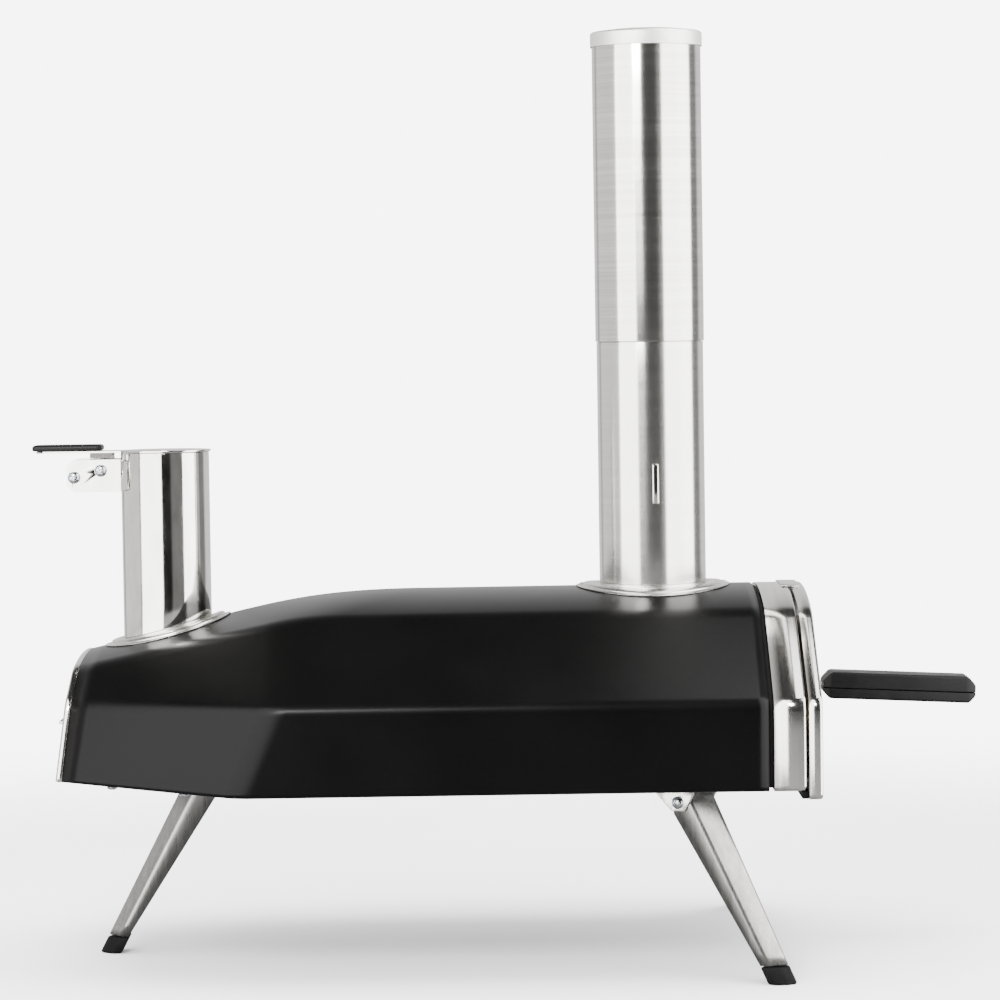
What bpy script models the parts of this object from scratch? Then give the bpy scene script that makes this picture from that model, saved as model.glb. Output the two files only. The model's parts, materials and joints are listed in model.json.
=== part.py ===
"""Wood fired pizza oven, as the separate solids that it is assembled from.

Metres, +Z up. +X points to the door and -X to the fuel hopper. The origin lies on
the floor, under the middle of the overall length. Every piece is in its rest
position: door closed, hopper lid and chimney cap down, legs open.
"""

import math

import bmesh
import bpy
from mathutils import Matrix, Vector
from mathutils.bvhtree import BVHTree

# Fits between pieces
GAP = 0.0003
LOOSE = 0.0015
SHEET = 0.0012
TUBE_SIDES = 36

# Outer shell: a long roof with two sloping shoulders, tapering to the rear
HALF_WIDTH = 0.188
UNDERSIDE = 0.144
BODY_HEIGHT = 0.1455
CREASE_RISE = 0.068
SHOULDER_HALF = 0.100
SHOULDER_DROP = 0.015
SHELL_FRONT = 0.197
KNEE_X = -0.177
SHELL_REAR = -0.333
REAR_NARROWING = 0.064
REAR_ROOF_FALL = 0.0455
REAR_LEAN = 0.119
FLANGE_WIDTH = 0.014
ROOF_STRIPS = 5

# Oven chamber
INSULATION = 0.0080
LINER_INSET = 0.012
LINER_SHEET = 0.001
MOUTH_INSET = 0.024
MOUTH_SILL = 0.024
STONE_SIDE = 0.330
STONE_THICK = 0.010
RAIL_HEIGHT = 0.010

# Front: shadow ring, stainless fascia and lift-off door
RING_INSET = 0.0025
RING_DEPTH = 0.004
FASCIA_DEPTH = 0.0245
DOOR_SEAM = 0.0018
DOOR_DEPTH = 0.0105
DOOR_DROP = 0.0065
PLUG_DEPTH = 0.023
HANDLE_LENGTH = 0.1225
HANDLE_HALF_WIDTH = 0.017
HANDLE_THICK = 0.0212
HANDLE_STANDOFF = 0.0152
HANDLE_DROOP = math.radians(2.8)

# Chimney
CHIMNEY_X = 0.1185
CHIMNEY_RISE = 0.4375
LOWER_RISE = 0.1945
LOWER_RADIUS = 0.0426
UPPER_RADIUS = LOWER_RADIUS + 0.0008
TUBE_WALL = 0.001
COLLAR_RADIUS = 0.0615
CAP_SKIRT = 0.009
LUG_RISE = (0.0665, 0.0980)

# Fuel hopper
HOPPER_X = -0.2706
HOPPER_RADIUS = 0.0352
HOPPER_RISE = 0.1120
HOPPER_COLLAR = 0.0500
LID_REACH = 0.1050
LID_HALF = 0.014

# Burner drawer
TRAY_HALF = 0.062
TRAY_FLOOR = 0.158
TRAY_RIM = 0.186
TRAY_FRONT = -0.220
GRATE_SLOTS = 7

# Legs: three alike, each folding inward under the body
LEG_PIVOT_DROP = 0.010
LEG_RUN = 0.083
LEG_SPLAY = math.radians(34)
FRONT_LEG_X = 0.139
REAR_LEG_X = -0.2385
LEG_SHEET = 0.0015
LEG_HALF_TOP = 0.016
LEG_HALF_FOOT = 0.011
FOOT_HEIGHT = 0.0137
PIN_RADIUS = 0.0025
EAR_SHEET = 0.002

# Places that follow from the sizes above
ROOF = UNDERSIDE + BODY_HEIGHT
REAR_HALF = HALF_WIDTH - REAR_NARROWING
CHIMNEY_TOP = ROOF + CHIMNEY_RISE
CHIMNEY_JOINT = ROOF + LOWER_RISE
LUG_BOTTOM, LUG_TOP = (ROOF + rise for rise in LUG_RISE)
HOPPER_TOP = ROOF + HOPPER_RISE
LID_PIVOT = Vector((HOPPER_X - 0.0501, 0, HOPPER_TOP - 0.0138))
LID_STOP = Vector((HOPPER_X - 0.0714, 0, HOPPER_TOP - 0.0191))
LID_REAR = HOPPER_X - LID_REACH
CREASE = UNDERSIDE + CREASE_RISE
FASCIA_REAR = SHELL_FRONT + RING_DEPTH
FASCIA_FRONT = FASCIA_REAR + FASCIA_DEPTH
DOOR_REAR = FASCIA_FRONT + DOOR_SEAM
DOOR_FACE = DOOR_REAR + DOOR_DEPTH
PAN_FLOOR = UNDERSIDE + SHEET + GAP
PAN_TOP = PAN_FLOOR + SHEET
REAR_ROOF = ROOF - REAR_ROOF_FALL

FINISHES = {
    "satin black powder coat": ((0.012, 0.012, 0.013), 0.42, 0.0),
    "brushed stainless": ((0.60, 0.59, 0.57), 0.30, 1.0),
    "polished stainless": ((0.72, 0.72, 0.71), 0.12, 1.0),
    "heat stained stainless": ((0.45, 0.40, 0.34), 0.38, 1.0),
    "galvanised steel": ((0.42, 0.43, 0.44), 0.48, 1.0),
    "cordierite": ((0.62, 0.54, 0.42), 0.90, 0.0),
    "ceramic fibre": ((0.80, 0.79, 0.75), 0.95, 0.0),
    "black nylon": ((0.016, 0.016, 0.017), 0.55, 0.0),
    "black rubber": ((0.014, 0.014, 0.014), 0.80, 0.0),
    "zinc plated steel": ((0.66, 0.66, 0.68), 0.25, 1.0),
}


# Scene helpers

for old in list(bpy.data.objects):
    bpy.data.objects.remove(old, do_unlink=True)
parts = bpy.data.collections.new("pizza_oven")
cutters = bpy.data.collections.new("cutters")
bpy.context.scene.collection.children.link(parts)
bpy.context.scene.collection.children.link(cutters)
cutters.hide_render = True


def add_part(name, mesh, finish, smooth_angle=30):
    """Put a mesh in the scene as one named piece with its own material."""
    colour, roughness, metallic = FINISHES[finish]
    material = bpy.data.materials.new(f"{name} {finish}")
    material.use_nodes = True
    shader = material.node_tree.nodes["Principled BSDF"]
    shader.inputs["Base Color"].default_value = (*colour, 1)
    shader.inputs["Roughness"].default_value = roughness
    shader.inputs["Metallic"].default_value = metallic
    material.diffuse_color = (*colour, 1)
    mesh.name = name
    mesh.materials.clear()
    mesh.materials.append(material)
    mesh.shade_smooth()
    mesh.set_sharp_from_angle(angle=math.radians(smooth_angle))
    piece = bpy.data.objects.new(name, mesh)
    parts.objects.link(piece)
    return piece


def add_cutter(name, mesh):
    cutter = bpy.data.objects.new(name, mesh)
    cutter.hide_render = True
    cutter.display_type = "WIRE"
    cutters.objects.link(cutter)
    return cutter


def boolean(piece, other, operation="DIFFERENCE"):
    modifier = piece.modifiers.new(f"{operation.lower()} {other.name}", "BOOLEAN")
    modifier.operation = operation
    modifier.object = other
    modifier.solver = "EXACT"


def thicken(piece, thickness, offset=-1):
    """Give a surface its sheet thickness, on the side away from its normals."""
    modifier = piece.modifiers.new("sheet thickness", "SOLIDIFY")
    modifier.thickness = thickness
    modifier.offset = offset
    modifier.use_even_offset = True
    modifier.use_quality_normals = True


def round_edges(piece, width, segments=2, angle=30):
    modifier = piece.modifiers.new("rounded edges", "BEVEL")
    modifier.width = width
    modifier.segments = segments
    modifier.limit_method = "ANGLE"
    modifier.angle_limit = math.radians(angle)


def hang_on(joint_name, location, children, rotation=None):
    """Parent finished pieces to an empty on their joint's axis, leaving them in place."""
    joint = bpy.data.objects.new(joint_name, None)
    joint.matrix_world = Matrix.Translation(location) @ (rotation or Matrix())
    joint.empty_display_size = 0.03
    parts.objects.link(joint)
    for child in children:
        child.parent = joint
        child.matrix_parent_inverse = joint.matrix_world.inverted()
    return joint


# Mesh helpers


def mesh_of(name, points, faces):
    mesh = bpy.data.meshes.new(name)
    mesh.from_pydata([tuple(point) for point in points], [], faces)
    return mesh


def face_outward(mesh):
    shape = bmesh.new()
    shape.from_mesh(mesh)
    bmesh.ops.recalc_face_normals(shape, faces=shape.faces)
    shape.to_mesh(mesh)
    shape.free()
    return mesh


def loft(name, rings, closed=True, cap_first=False, cap_last=False):
    """Join rings of equally many points with quads, and close the chosen ends."""
    count = len(rings[0])
    points = [point for ring in rings for point in ring]
    faces = []
    for row in range(len(rings) - 1):
        for i in range(count if closed else count - 1):
            j = (i + 1) % count
            low, high = row * count, (row + 1) * count
            faces.append((low + i, low + j, high + j, high + i))
    if cap_first:
        faces.append(tuple(range(count)))
    if cap_last:
        faces.append(tuple(range(len(points) - count, len(points))))
    return face_outward(mesh_of(name, points, faces))


def box_mesh(name, low, high):
    shape = bmesh.new()
    bmesh.ops.create_cube(shape, size=1)
    size = Vector(high) - Vector(low)
    middle = (Vector(high) + Vector(low)) / 2
    bmesh.ops.transform(
        shape, matrix=Matrix.Translation(middle) @ Matrix.Diagonal((*size, 1)), verts=shape.verts
    )
    mesh = bpy.data.meshes.new(name)
    shape.to_mesh(mesh)
    shape.free()
    return mesh


def rod_mesh(name, radius, start, end, sides=16):
    """A closed cylinder from one point to another."""
    start, end = Vector(start), Vector(end)
    turn = (end - start).to_track_quat("Z", "Y").to_matrix().to_4x4()
    shape = bmesh.new()
    bmesh.ops.create_cone(
        shape, cap_ends=True, segments=sides, radius1=radius, radius2=radius, depth=(end - start).length
    )
    bmesh.ops.transform(shape, matrix=Matrix.Translation((start + end) / 2) @ turn, verts=shape.verts)
    mesh = bpy.data.meshes.new(name)
    shape.to_mesh(mesh)
    shape.free()
    return mesh


def pipe_mesh(name, radius, centre_x, bottom, top, sides=TUBE_SIDES):
    """An open cylinder wall whose two ends may each follow a height given by x and y."""
    rings = []
    for height in (bottom, top):
        ring = []
        for k in range(sides):
            angle = 2 * math.pi * k / sides
            x = centre_x + radius * math.cos(angle)
            y = radius * math.sin(angle)
            ring.append(Vector((x, y, height(x, y) if callable(height) else height)))
        rings.append(ring)
    return loft(name, rings)


def flat_mesh(name, outline, thickness, matrix):
    """A flat outline with its thickness centred on the local XY plane."""
    curve = bpy.data.curves.new(name, "CURVE")
    curve.dimensions = "2D"
    curve.fill_mode = "BOTH"
    curve.extrude = thickness / 2
    spline = curve.splines.new("POLY")
    spline.points.add(len(outline) - 1)
    for point, (x, y) in zip(spline.points, outline):
        point.co = (x, y, 0, 1)
    spline.use_cyclic_u = True
    guide = bpy.data.objects.new(f"{name} outline", curve)
    cutters.objects.link(guide)
    guide.hide_render = True
    bpy.context.view_layer.update()
    graph = bpy.context.evaluated_depsgraph_get()
    mesh = bpy.data.meshes.new_from_object(guide.evaluated_get(graph))
    bpy.data.objects.remove(guide, do_unlink=True)
    shape = bmesh.new()
    shape.from_mesh(mesh)
    bmesh.ops.remove_doubles(shape, verts=shape.verts, dist=0.00001)
    bmesh.ops.transform(shape, matrix=matrix, verts=shape.verts)
    bmesh.ops.recalc_face_normals(shape, faces=shape.faces)
    shape.to_mesh(mesh)
    shape.free()
    return mesh


def turned_part(name, profile, matrix, finish, steps=24):
    """Turn a profile of (radius, height) points, listed from top to bottom, about the local Z axis."""
    points = [(radius, 0, height) for radius, height in profile]
    mesh = bpy.data.meshes.new(name)
    mesh.from_pydata(points, [(i, i + 1) for i in range(len(points) - 1)], [])
    piece = add_part(name, mesh, finish)
    modifier = piece.modifiers.new("turned", "SCREW")
    modifier.steps = steps
    modifier.render_steps = steps
    modifier.use_merge_vertices = True
    modifier.merge_threshold = 0.00001
    modifier.use_smooth_shade = True
    piece.matrix_world = matrix
    return piece


def soften(line, reaches, steps=2):
    """Replace each inner corner of a line by a quadratic curve that starts and ends at its reach."""
    points = [line[0]]
    for before, corner, after, reach in zip(line, line[1:], line[2:], reaches):
        if not reach:
            points.append(corner)
            continue
        start = corner + (before - corner).normalized() * reach
        end = corner + (after - corner).normalized() * reach
        for k in range(steps + 1):
            t = k / steps
            points.append(start * (1 - t) ** 2 + corner * 2 * t * (1 - t) + end * t**2)
    points.append(line[-1])
    return points


# The shell's long edges

# Each long edge of the shell: its rear end, its knee, its front end, and how far the
# knee's curve reaches to the rear and to the front.
ROOF_KNEE_X = KNEE_X + 0.025
SHOULDER_KNEE_X = KNEE_X + 0.016
BOTTOM_KNEE_X = KNEE_X - 0.029
REAR_UNDERSIDE = UNDERSIDE + 0.0075


def rear_x(z):
    """The rear end of the shell lies on a plane that leans back toward the floor."""
    return SHELL_REAR - REAR_LEAN * (REAR_ROOF - z)


def rear_point(y, z):
    return Vector((rear_x(z), y, z))


SHOULDER = ROOF - SHOULDER_DROP
LONG_EDGES = {
    "crown": (
        rear_point(0, REAR_ROOF),
        Vector((ROOF_KNEE_X, 0, ROOF - 0.0008)),
        Vector((SHELL_FRONT, 0, ROOF)),
        (0.066, 0.102),
    ),
    "shoulder": (
        rear_point(0.63 * REAR_HALF, REAR_ROOF - 0.0080),
        Vector((SHOULDER_KNEE_X, SHOULDER_HALF, SHOULDER - 0.0006)),
        Vector((SHELL_FRONT, SHOULDER_HALF, SHOULDER)),
        (0.025, 0.030),
    ),
    "crease": (
        rear_point(0.89 * REAR_HALF, CREASE),
        Vector((KNEE_X, HALF_WIDTH, CREASE)),
        Vector((SHELL_FRONT, HALF_WIDTH, CREASE)),
        (0.008, 0.008),
    ),
    "bottom": (
        rear_point(REAR_HALF, REAR_UNDERSIDE),
        Vector((BOTTOM_KNEE_X, HALF_WIDTH - 0.002, UNDERSIDE)),
        Vector((SHELL_FRONT, HALF_WIDTH - 0.002, UNDERSIDE)),
        (0.008, 0.008),
    ),
}
KNEE_STEPS = 3
COLUMNS = 2 + KNEE_STEPS + 1


def along_edge(name):
    """The points of one long edge, rear to front: the rear end, the knee's curve, the front end."""
    rear, knee, front, (reach_rear, reach_front) = LONG_EDGES[name]
    start = knee + (rear - knee).normalized() * reach_rear
    end = knee + (front - knee).normalized() * reach_front
    points = [rear]
    for k in range(KNEE_STEPS + 1):
        t = k / KNEE_STEPS
        points.append(start * (1 - t) ** 2 + knee * 2 * t * (1 - t) + end * t**2)
    points.append(front)
    return points


EDGE_POINTS = {name: along_edge(name) for name in LONG_EDGES}


def section_corners(column, inset=0.0, bottom=None):
    """Corners of the half section in one column, from the crown down, moved inward by inset.

    The inset is measured across each face of the section. The last corner keeps its
    own height, or takes the height given as bottom.
    """
    crown = EDGE_POINTS["crown"][column]
    shoulder = EDGE_POINTS["shoulder"][column]
    corners = []
    for k in range(ROOF_STRIPS):
        share = k / ROOF_STRIPS
        point = crown.lerp(shoulder, share)
        point.z = crown.z + (shoulder.z - crown.z) * share**2
        corners.append(point)
    corners += [shoulder, EDGE_POINTS["crease"][column], EDGE_POINTS["bottom"][column]]
    normals = []
    for a, b in zip(corners, corners[1:]):
        normals.append(Vector((0, b.z - a.z, a.y - b.y)).normalized())
    moved = []
    for i, corner in enumerate(corners):
        first = normals[max(i - 1, 0)]
        second = normals[min(i, len(normals) - 1)]
        if i == 0:
            first = Vector((0, -second.y, second.z))
        shift = (first + second) * (inset / (1 + first.dot(second)))
        moved.append(corner + shift)
    moved[-1].z = corners[-1].z
    if bottom is not None:
        side = moved[-1] - moved[-2]
        moved[-1] = moved[-2] + side * ((bottom - moved[-2].z) / side.z)
    return moved


SHOULDER_ROUND = 0.008
CREASE_ROUND = 0.006
BOTTOM_ROUND = 0.004


def half_section(column, inset=0.0, bottom=None, flange=0.0, open_foot=False):
    """The half section with its corners rounded.

    With a flange it turns under the body, and with an open foot its side ends straight.
    """
    corners = section_corners(column, inset, bottom)
    reaches = [0] * (ROOF_STRIPS - 1) + [SHOULDER_ROUND, CREASE_ROUND, BOTTOM_ROUND]
    if open_foot:
        return soften(corners, reaches[:-1])
    corners.append(corners[-1] - Vector((0, flange or FLANGE_WIDTH, 0)))
    points = soften(corners, reaches)
    return points if flange else points[:-1]


def mirrored(half):
    """A whole section: the left half reversed, the crown once, then the right half."""
    left = [Vector((p.x, -p.y, p.z)) for p in reversed(half[1:])]
    return left + list(half)


def front_outline(x, inset=0.0, bottom=None):
    """The closed outline of the front end, put at x."""
    ring = mirrored(half_section(COLUMNS - 1, inset, bottom))
    return [Vector((x, p.y, p.z)) for p in ring]


def rear_outline(depth, inset=0.0):
    """The closed outline of the rear end, moved out along -X by depth."""
    ring = mirrored(half_section(0, inset))
    if inset:
        low = REAR_UNDERSIDE + inset
        ring = [Vector((p.x, p.y, max(p.z, low))) for p in ring]
    return [Vector((rear_x(p.z) - depth, p.y, p.z)) for p in ring]


def bottom_height(x):
    """Underside of the shell at x: level from the knee forward, rising to the rear end."""
    rear, knee = LONG_EDGES["bottom"][0], LONG_EDGES["bottom"][1]
    share = max(0.0, (knee.x - x) / (knee.x - rear.x))
    return knee.z + (rear.z - knee.z) * share


# The shell


def hole_through_roof(name, x, radius):
    return add_cutter(name, rod_mesh(name, radius, (x, 0, UNDERSIDE + 0.03), (x, 0, ROOF + 0.02), 32))


chimney_hole = hole_through_roof("chimney_hole", CHIMNEY_X, LOWER_RADIUS - 0.003)
hopper_hole = hole_through_roof("hopper_hole", HOPPER_X, HOPPER_RADIUS - 0.002)
BASE_SCREWS = {
    "base_screw_rear_left": (-0.304, 1),
    "base_screw_rear_right": (-0.304, -1),
    "base_screw_middle_left": (-0.246, 1),
    "base_screw_middle_right": (-0.246, -1),
}


def body_shell():
    sections = [mirrored(half_section(column, flange=FLANGE_WIDTH)) for column in range(COLUMNS)]
    shell = add_part("body_shell", loft("body_shell", sections, closed=False), "satin black powder coat")
    thicken(shell, SHEET)
    return shell


def roof_finder(shell):
    """A function that gives the height of the shell's outer face above any x and y."""
    bpy.context.view_layer.update()
    tree = BVHTree.FromObject(shell, bpy.context.evaluated_depsgraph_get())

    def height(x, y):
        return tree.ray_cast(Vector((x, y, 1)), Vector((0, 0, -1)))[0].z

    return height


shell = body_shell()
roof_at = roof_finder(shell)
boolean(shell, chimney_hole)
boolean(shell, hopper_hole)


def base_pan():
    """Flat plate that closes the underside. It lies on the shell's bottom flange."""
    side_play = BOTTOM_ROUND + LOOSE
    left, right = [], []
    for point in EDGE_POINTS["bottom"]:
        x = point.x + (0.0015 if point.x < KNEE_X - 0.1 else 0)
        y = point.y - side_play
        left.append(Vector((x, -y, point.z + SHEET + GAP)))
        right.append(Vector((x, y, point.z + SHEET + GAP)))
    middle = [(a + b) / 2 for a, b in zip(left, right)]
    pan = add_part("base_pan", loft("base_pan", [left, middle, right], closed=False), "galvanised steel")
    # The surface is the pan's lower face, so the sheet thickness goes upward.
    up = pan.data.polygons[0].normal.z > 0
    thicken(pan, SHEET, 1 if up else -1)
    return pan


pan = base_pan()


def edge_y(x):
    """Half width of the shell's bottom edge at x."""
    rear, knee = LONG_EDGES["bottom"][0], LONG_EDGES["bottom"][1]
    share = min(1.0, max(0.0, (knee.x - x) / (knee.x - rear.x)))
    return knee.y + (rear.y - knee.y) * share


SCREW_HOLE = 0.0023


def base_screws():
    """Pan-head screws that hold the shell's flange to the base pan."""
    for name, (x, side) in BASE_SCREWS.items():
        y = side * (edge_y(x) - 0.0085)
        z = bottom_height(x)
        hole = rod_mesh(f"{name}_hole", SCREW_HOLE, (x, y, z - 0.003), (x, y, z + 0.006), 12)
        cutter = add_cutter(f"{name}_hole", hole)
        boolean(shell, cutter)
        boolean(pan, cutter)
        profile = [(0, 0.0040), (0.002, 0.0040), (0.002, -0.0004), (0.0042, -0.0004)]
        profile += [(0.0038, -0.0016), (0.0022, -0.0024), (0, -0.0026)]
        turned_part(name, profile, Matrix.Translation((x, y, z)), "zinc plated steel", 12)


base_screws()


def band(name, column_rings, thickness, finish):
    """A bent skin whose rings are open half-tunnel sections."""
    piece = add_part(name, loft(name, column_rings, closed=False), finish)
    thicken(piece, thickness)
    return piece


def tunnel_rings(inset, clearance_below, front_x):
    """Open sections inside the shell that stop above the base pan."""
    rings = []
    for column in range(COLUMNS):
        low = EDGE_POINTS["bottom"][column].z + SHEET + GAP + SHEET + clearance_below
        ring = mirrored(half_section(column, inset, low, open_foot=True))
        if column == 0:
            ring = [p + Vector((0.002, 0, 0)) for p in ring]
        if column == COLUMNS - 1:
            ring = [Vector((front_x, p.y, p.z)) for p in ring]
        rings.append(ring)
    return rings


def insulation_blanket():
    rings = tunnel_rings(SHEET + 0.0008, 0.004, SHELL_FRONT - 0.001)
    blanket = band("insulation_blanket", rings, INSULATION, "ceramic fibre")
    boolean(blanket, chimney_hole)
    boolean(blanket, hopper_hole)


def inner_liner():
    rings = tunnel_rings(LINER_INSET, GAP, SHELL_FRONT - 0.001)
    liner = band("inner_liner", rings, LINER_SHEET, "heat stained stainless")
    boolean(liner, chimney_hole)
    boolean(liner, hopper_hole)


insulation_blanket()
inner_liner()

# Floor of the oven

LINER_FACE = LINER_INSET + LINER_SHEET
FLOOR_Z = PAN_TOP + 0.003
FLOOR_TOP = FLOOR_Z + LINER_SHEET
RAIL_TOP = FLOOR_TOP + GAP + RAIL_HEIGHT
STONE_BOTTOM = RAIL_TOP + GAP
STONE_TOP = STONE_BOTTOM + STONE_THICK
MOUTH_LIP_REAR = SHELL_FRONT - 0.007
STONE_FRONT = MOUTH_LIP_REAR - LOOSE
STONE_REAR = STONE_FRONT - STONE_SIDE
FLOOR_FRONT = MOUTH_LIP_REAR - LOOSE
FLOOR_REAR = STONE_REAR - 0.055
FLOOR_HALF = HALF_WIDTH - 0.002 - LINER_FACE - 0.003


def inner_floor():
    """Heat shield under the stone: a plate with its side edges turned down to the base pan."""
    low = PAN_TOP + GAP
    profile = [(-FLOOR_HALF, low), (-FLOOR_HALF, FLOOR_TOP), (FLOOR_HALF, FLOOR_TOP), (FLOOR_HALF, low)]
    rings = [[Vector((x, y, z)) for y, z in profile] for x in (FLOOR_REAR, FLOOR_FRONT)]
    plate = add_part("inner_floor", loft("inner_floor", rings, closed=False), "heat stained stainless")
    up = max(plate.data.polygons, key=lambda face: face.area).normal.z > 0
    thicken(plate, LINER_SHEET, -1 if up else 1)


def stone_rail(name, y):
    """Hat-section rail that carries one side of the stone."""
    top, base = RAIL_TOP, FLOOR_TOP + GAP
    across = [(-0.014, base), (-0.007, base), (-0.006, top), (0.006, top), (0.007, base), (0.014, base)]
    rings = [
        [Vector((x, y + dy, z)) for dy, z in across] for x in (STONE_REAR + 0.01, STONE_FRONT - 0.01)
    ]
    rail = add_part(name, loft(name, rings, closed=False), "heat stained stainless", 20)
    up = rail.data.polygons[2].normal.z > 0
    thicken(rail, LINER_SHEET, -1 if up else 1)
    # The sheet grows downward from the drawn face, so the rail is lifted by its own thickness at the feet.
    for vertex in rail.data.vertices:
        if vertex.co.z < top - 0.001:
            vertex.co.z += LINER_SHEET


def baking_stone():
    low = (STONE_REAR, -STONE_SIDE / 2, STONE_BOTTOM)
    high = (STONE_FRONT, STONE_SIDE / 2, STONE_TOP)
    stone = add_part("baking_stone", box_mesh("baking_stone", low, high), "cordierite")
    round_edges(stone, 0.0015)


def flame_guard():
    """Upright plate behind the stone, with a foot that rests on the floor plate."""
    x = STONE_REAR - 0.008
    base = FLOOR_TOP + GAP
    sheet = 0.0015
    outline = [(x, base), (x, STONE_TOP + 0.014), (x - sheet, STONE_TOP + 0.014)]
    outline += [(x - sheet, base + sheet), (x - 0.016, base + sheet), (x - 0.016, base)]
    turn = Matrix.Rotation(math.pi / 2, 4, "X")
    mesh = flat_mesh("flame_guard", outline, 2 * (SHOULDER_HALF + 0.02), turn)
    add_part("flame_guard", mesh, "heat stained stainless")


inner_floor()
stone_rail("stone_rail_left", STONE_SIDE / 2 - 0.035)
stone_rail("stone_rail_right", -(STONE_SIDE / 2 - 0.035))
baking_stone()
flame_guard()

# The front


def front_ring():
    """Black ring, set back from the shell and the fascia, that reads as a shadow gap."""
    rings = [
        front_outline(SHELL_FRONT + GAP, RING_INSET, UNDERSIDE + RING_INSET),
        front_outline(FASCIA_REAR - GAP, RING_INSET, UNDERSIDE + RING_INSET),
        front_outline(FASCIA_REAR - GAP, 0.010, UNDERSIDE + 0.010),
        front_outline(SHELL_FRONT + GAP, 0.010, UNDERSIDE + 0.010),
    ]
    add_part("front_ring", loft("front_ring", rings + rings[:1]), "black rubber")
    weld_loops(bpy.data.objects["front_ring"])


def weld_loops(piece):
    """Join the first and last loops of a loft that comes back to where it started."""
    shape = bmesh.new()
    shape.from_mesh(piece.data)
    bmesh.ops.remove_doubles(shape, verts=shape.verts, dist=0.00001)
    bmesh.ops.recalc_face_normals(shape, faces=shape.faces)
    shape.to_mesh(piece.data)
    shape.free()


EDGE_STEPS = ((0.0020, 0.0), (0.0006, 0.0006), (0.0, 0.0020))
SILL = UNDERSIDE + MOUTH_SILL


def fascia():
    """Stainless collar: outer band, flat front face and the lip of the oven mouth."""
    rings = [front_outline(FASCIA_REAR, 0, UNDERSIDE)]
    for back, inset in EDGE_STEPS:
        rings.append(front_outline(FASCIA_FRONT - back, inset, UNDERSIDE + inset))
    rings.append(front_outline(FASCIA_FRONT, MOUTH_INSET, SILL))
    rings.append(front_outline(MOUTH_LIP_REAR, MOUTH_INSET, SILL))
    piece = add_part("front_fascia", loft("front_fascia", rings), "brushed stainless")
    outward = piece.data.polygons[0].normal.dot(piece.data.polygons[0].center - Vector((0, 0, CREASE)))
    thicken(piece, SHEET, -1 if outward > 0 else 1)


def sill_strip():
    """Strip under the fascia that the foot of the door stands against."""
    low = (FASCIA_FRONT - 0.0035, -HALF_WIDTH + 0.006, UNDERSIDE - DOOR_DROP + 0.0005)
    high = (DOOR_REAR - GAP, HALF_WIDTH - 0.006, UNDERSIDE - GAP)
    add_part("door_sill_strip", box_mesh("door_sill_strip", low, high), "black rubber")


def door_outer():
    """Pressed door skin: a face with a return flange as deep as the door."""
    foot = UNDERSIDE - DOOR_DROP
    rings = [front_outline(DOOR_REAR, 0, foot)]
    for back, inset in EDGE_STEPS:
        rings.append(front_outline(DOOR_FACE - back, inset, foot + inset))
    piece = add_part("door_outer", loft("door_outer", rings, cap_last=True), "brushed stainless")
    outward = piece.data.polygons[-1].normal.x
    thicken(piece, SHEET, -1 if outward > 0 else 1)
    return piece


PLUG_INSET = MOUTH_INSET + SHEET + 0.0025
PLUG_REAR = DOOR_FACE - SHEET - GAP - PLUG_DEPTH
PLUG_SILL = SILL + SHEET + 0.0025


def door_inner():
    """Inner door pan. It stands in the oven mouth with clearance all round."""
    rings = [
        front_outline(DOOR_FACE - SHEET - GAP, PLUG_INSET, PLUG_SILL),
        front_outline(PLUG_REAR, PLUG_INSET, PLUG_SILL),
    ]
    piece = add_part("door_inner", loft("door_inner", rings, cap_last=True), "heat stained stainless")
    outward = piece.data.polygons[-1].normal.x
    thicken(piece, LINER_SHEET, -1 if outward < 0 else 1)
    return piece


def door_insulation():
    inset = PLUG_INSET + LINER_SHEET + 0.0005
    sill = PLUG_SILL + LINER_SHEET + 0.0005
    rings = [
        front_outline(DOOR_FACE - SHEET - 2 * GAP, inset, sill),
        front_outline(PLUG_REAR + LINER_SHEET + GAP, inset, sill),
    ]
    mesh = loft("door_insulation", rings, cap_first=True, cap_last=True)
    return add_part("door_insulation", mesh, "ceramic fibre")


def door_hook():
    """Tab on the door's top edge that hangs it on the fascia."""
    half = 0.032
    steps = 6
    under, over = [], []
    for k in range(steps + 1):
        y = -half + 2 * half * k / steps
        z = roof_at(SHELL_FRONT - 0.001, y) + GAP
        under.append((y, z))
        over.append((y, z + 0.0012))
    outline = under + over[::-1]
    turn = Matrix(((0, 0, 1, 0), (1, 0, 0, 0), (0, 1, 0, 0), (0, 0, 0, 1)))
    length = 0.014
    middle = FASCIA_FRONT - 0.0065 + length / 2
    mesh = flat_mesh("door_hook", outline, length, Matrix.Translation((middle, 0, 0)) @ turn)
    return add_part("door_hook", mesh, "brushed stainless")


# The handle is drawn along its own axis: +X forward from the door, Z up from the seam.
SEAM_LIFT = 0.0085
TANG_THICK = 0.0024
TANG_RISE = 0.0012
TANG_HALF = 0.010
HANDLE_Z = 0.2080
HANDLE_START = DOOR_FACE + HANDLE_STANDOFF
SEAM_LEVEL = HANDLE_Z - HANDLE_THICK / 2 + SEAM_LIFT
HANDLE_FRAME = Matrix.Translation((HANDLE_START, 0, SEAM_LEVEL)) @ Matrix.Rotation(HANDLE_DROOP, 4, "Y")
SIDEWAYS = Matrix.Rotation(math.pi / 2, 4, "X")


def handle_half(name, far, side):
    """One grip half: a side outline with chamfered ends, from the seam to its outer face."""
    near = GAP / 2
    tip = HANDLE_LENGTH
    chamfer = min(0.0065, abs(far) * 0.62)
    outline = [(0, side * near), (0, side * (abs(far) - chamfer)), (chamfer, far), (tip - chamfer, far)]
    outline += [(tip, side * (abs(far) - chamfer)), (tip, side * near)]
    mesh = flat_mesh(name, outline, 2 * HANDLE_HALF_WIDTH, HANDLE_FRAME @ SIDEWAYS)
    return add_part(name, mesh, "black nylon")


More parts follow.
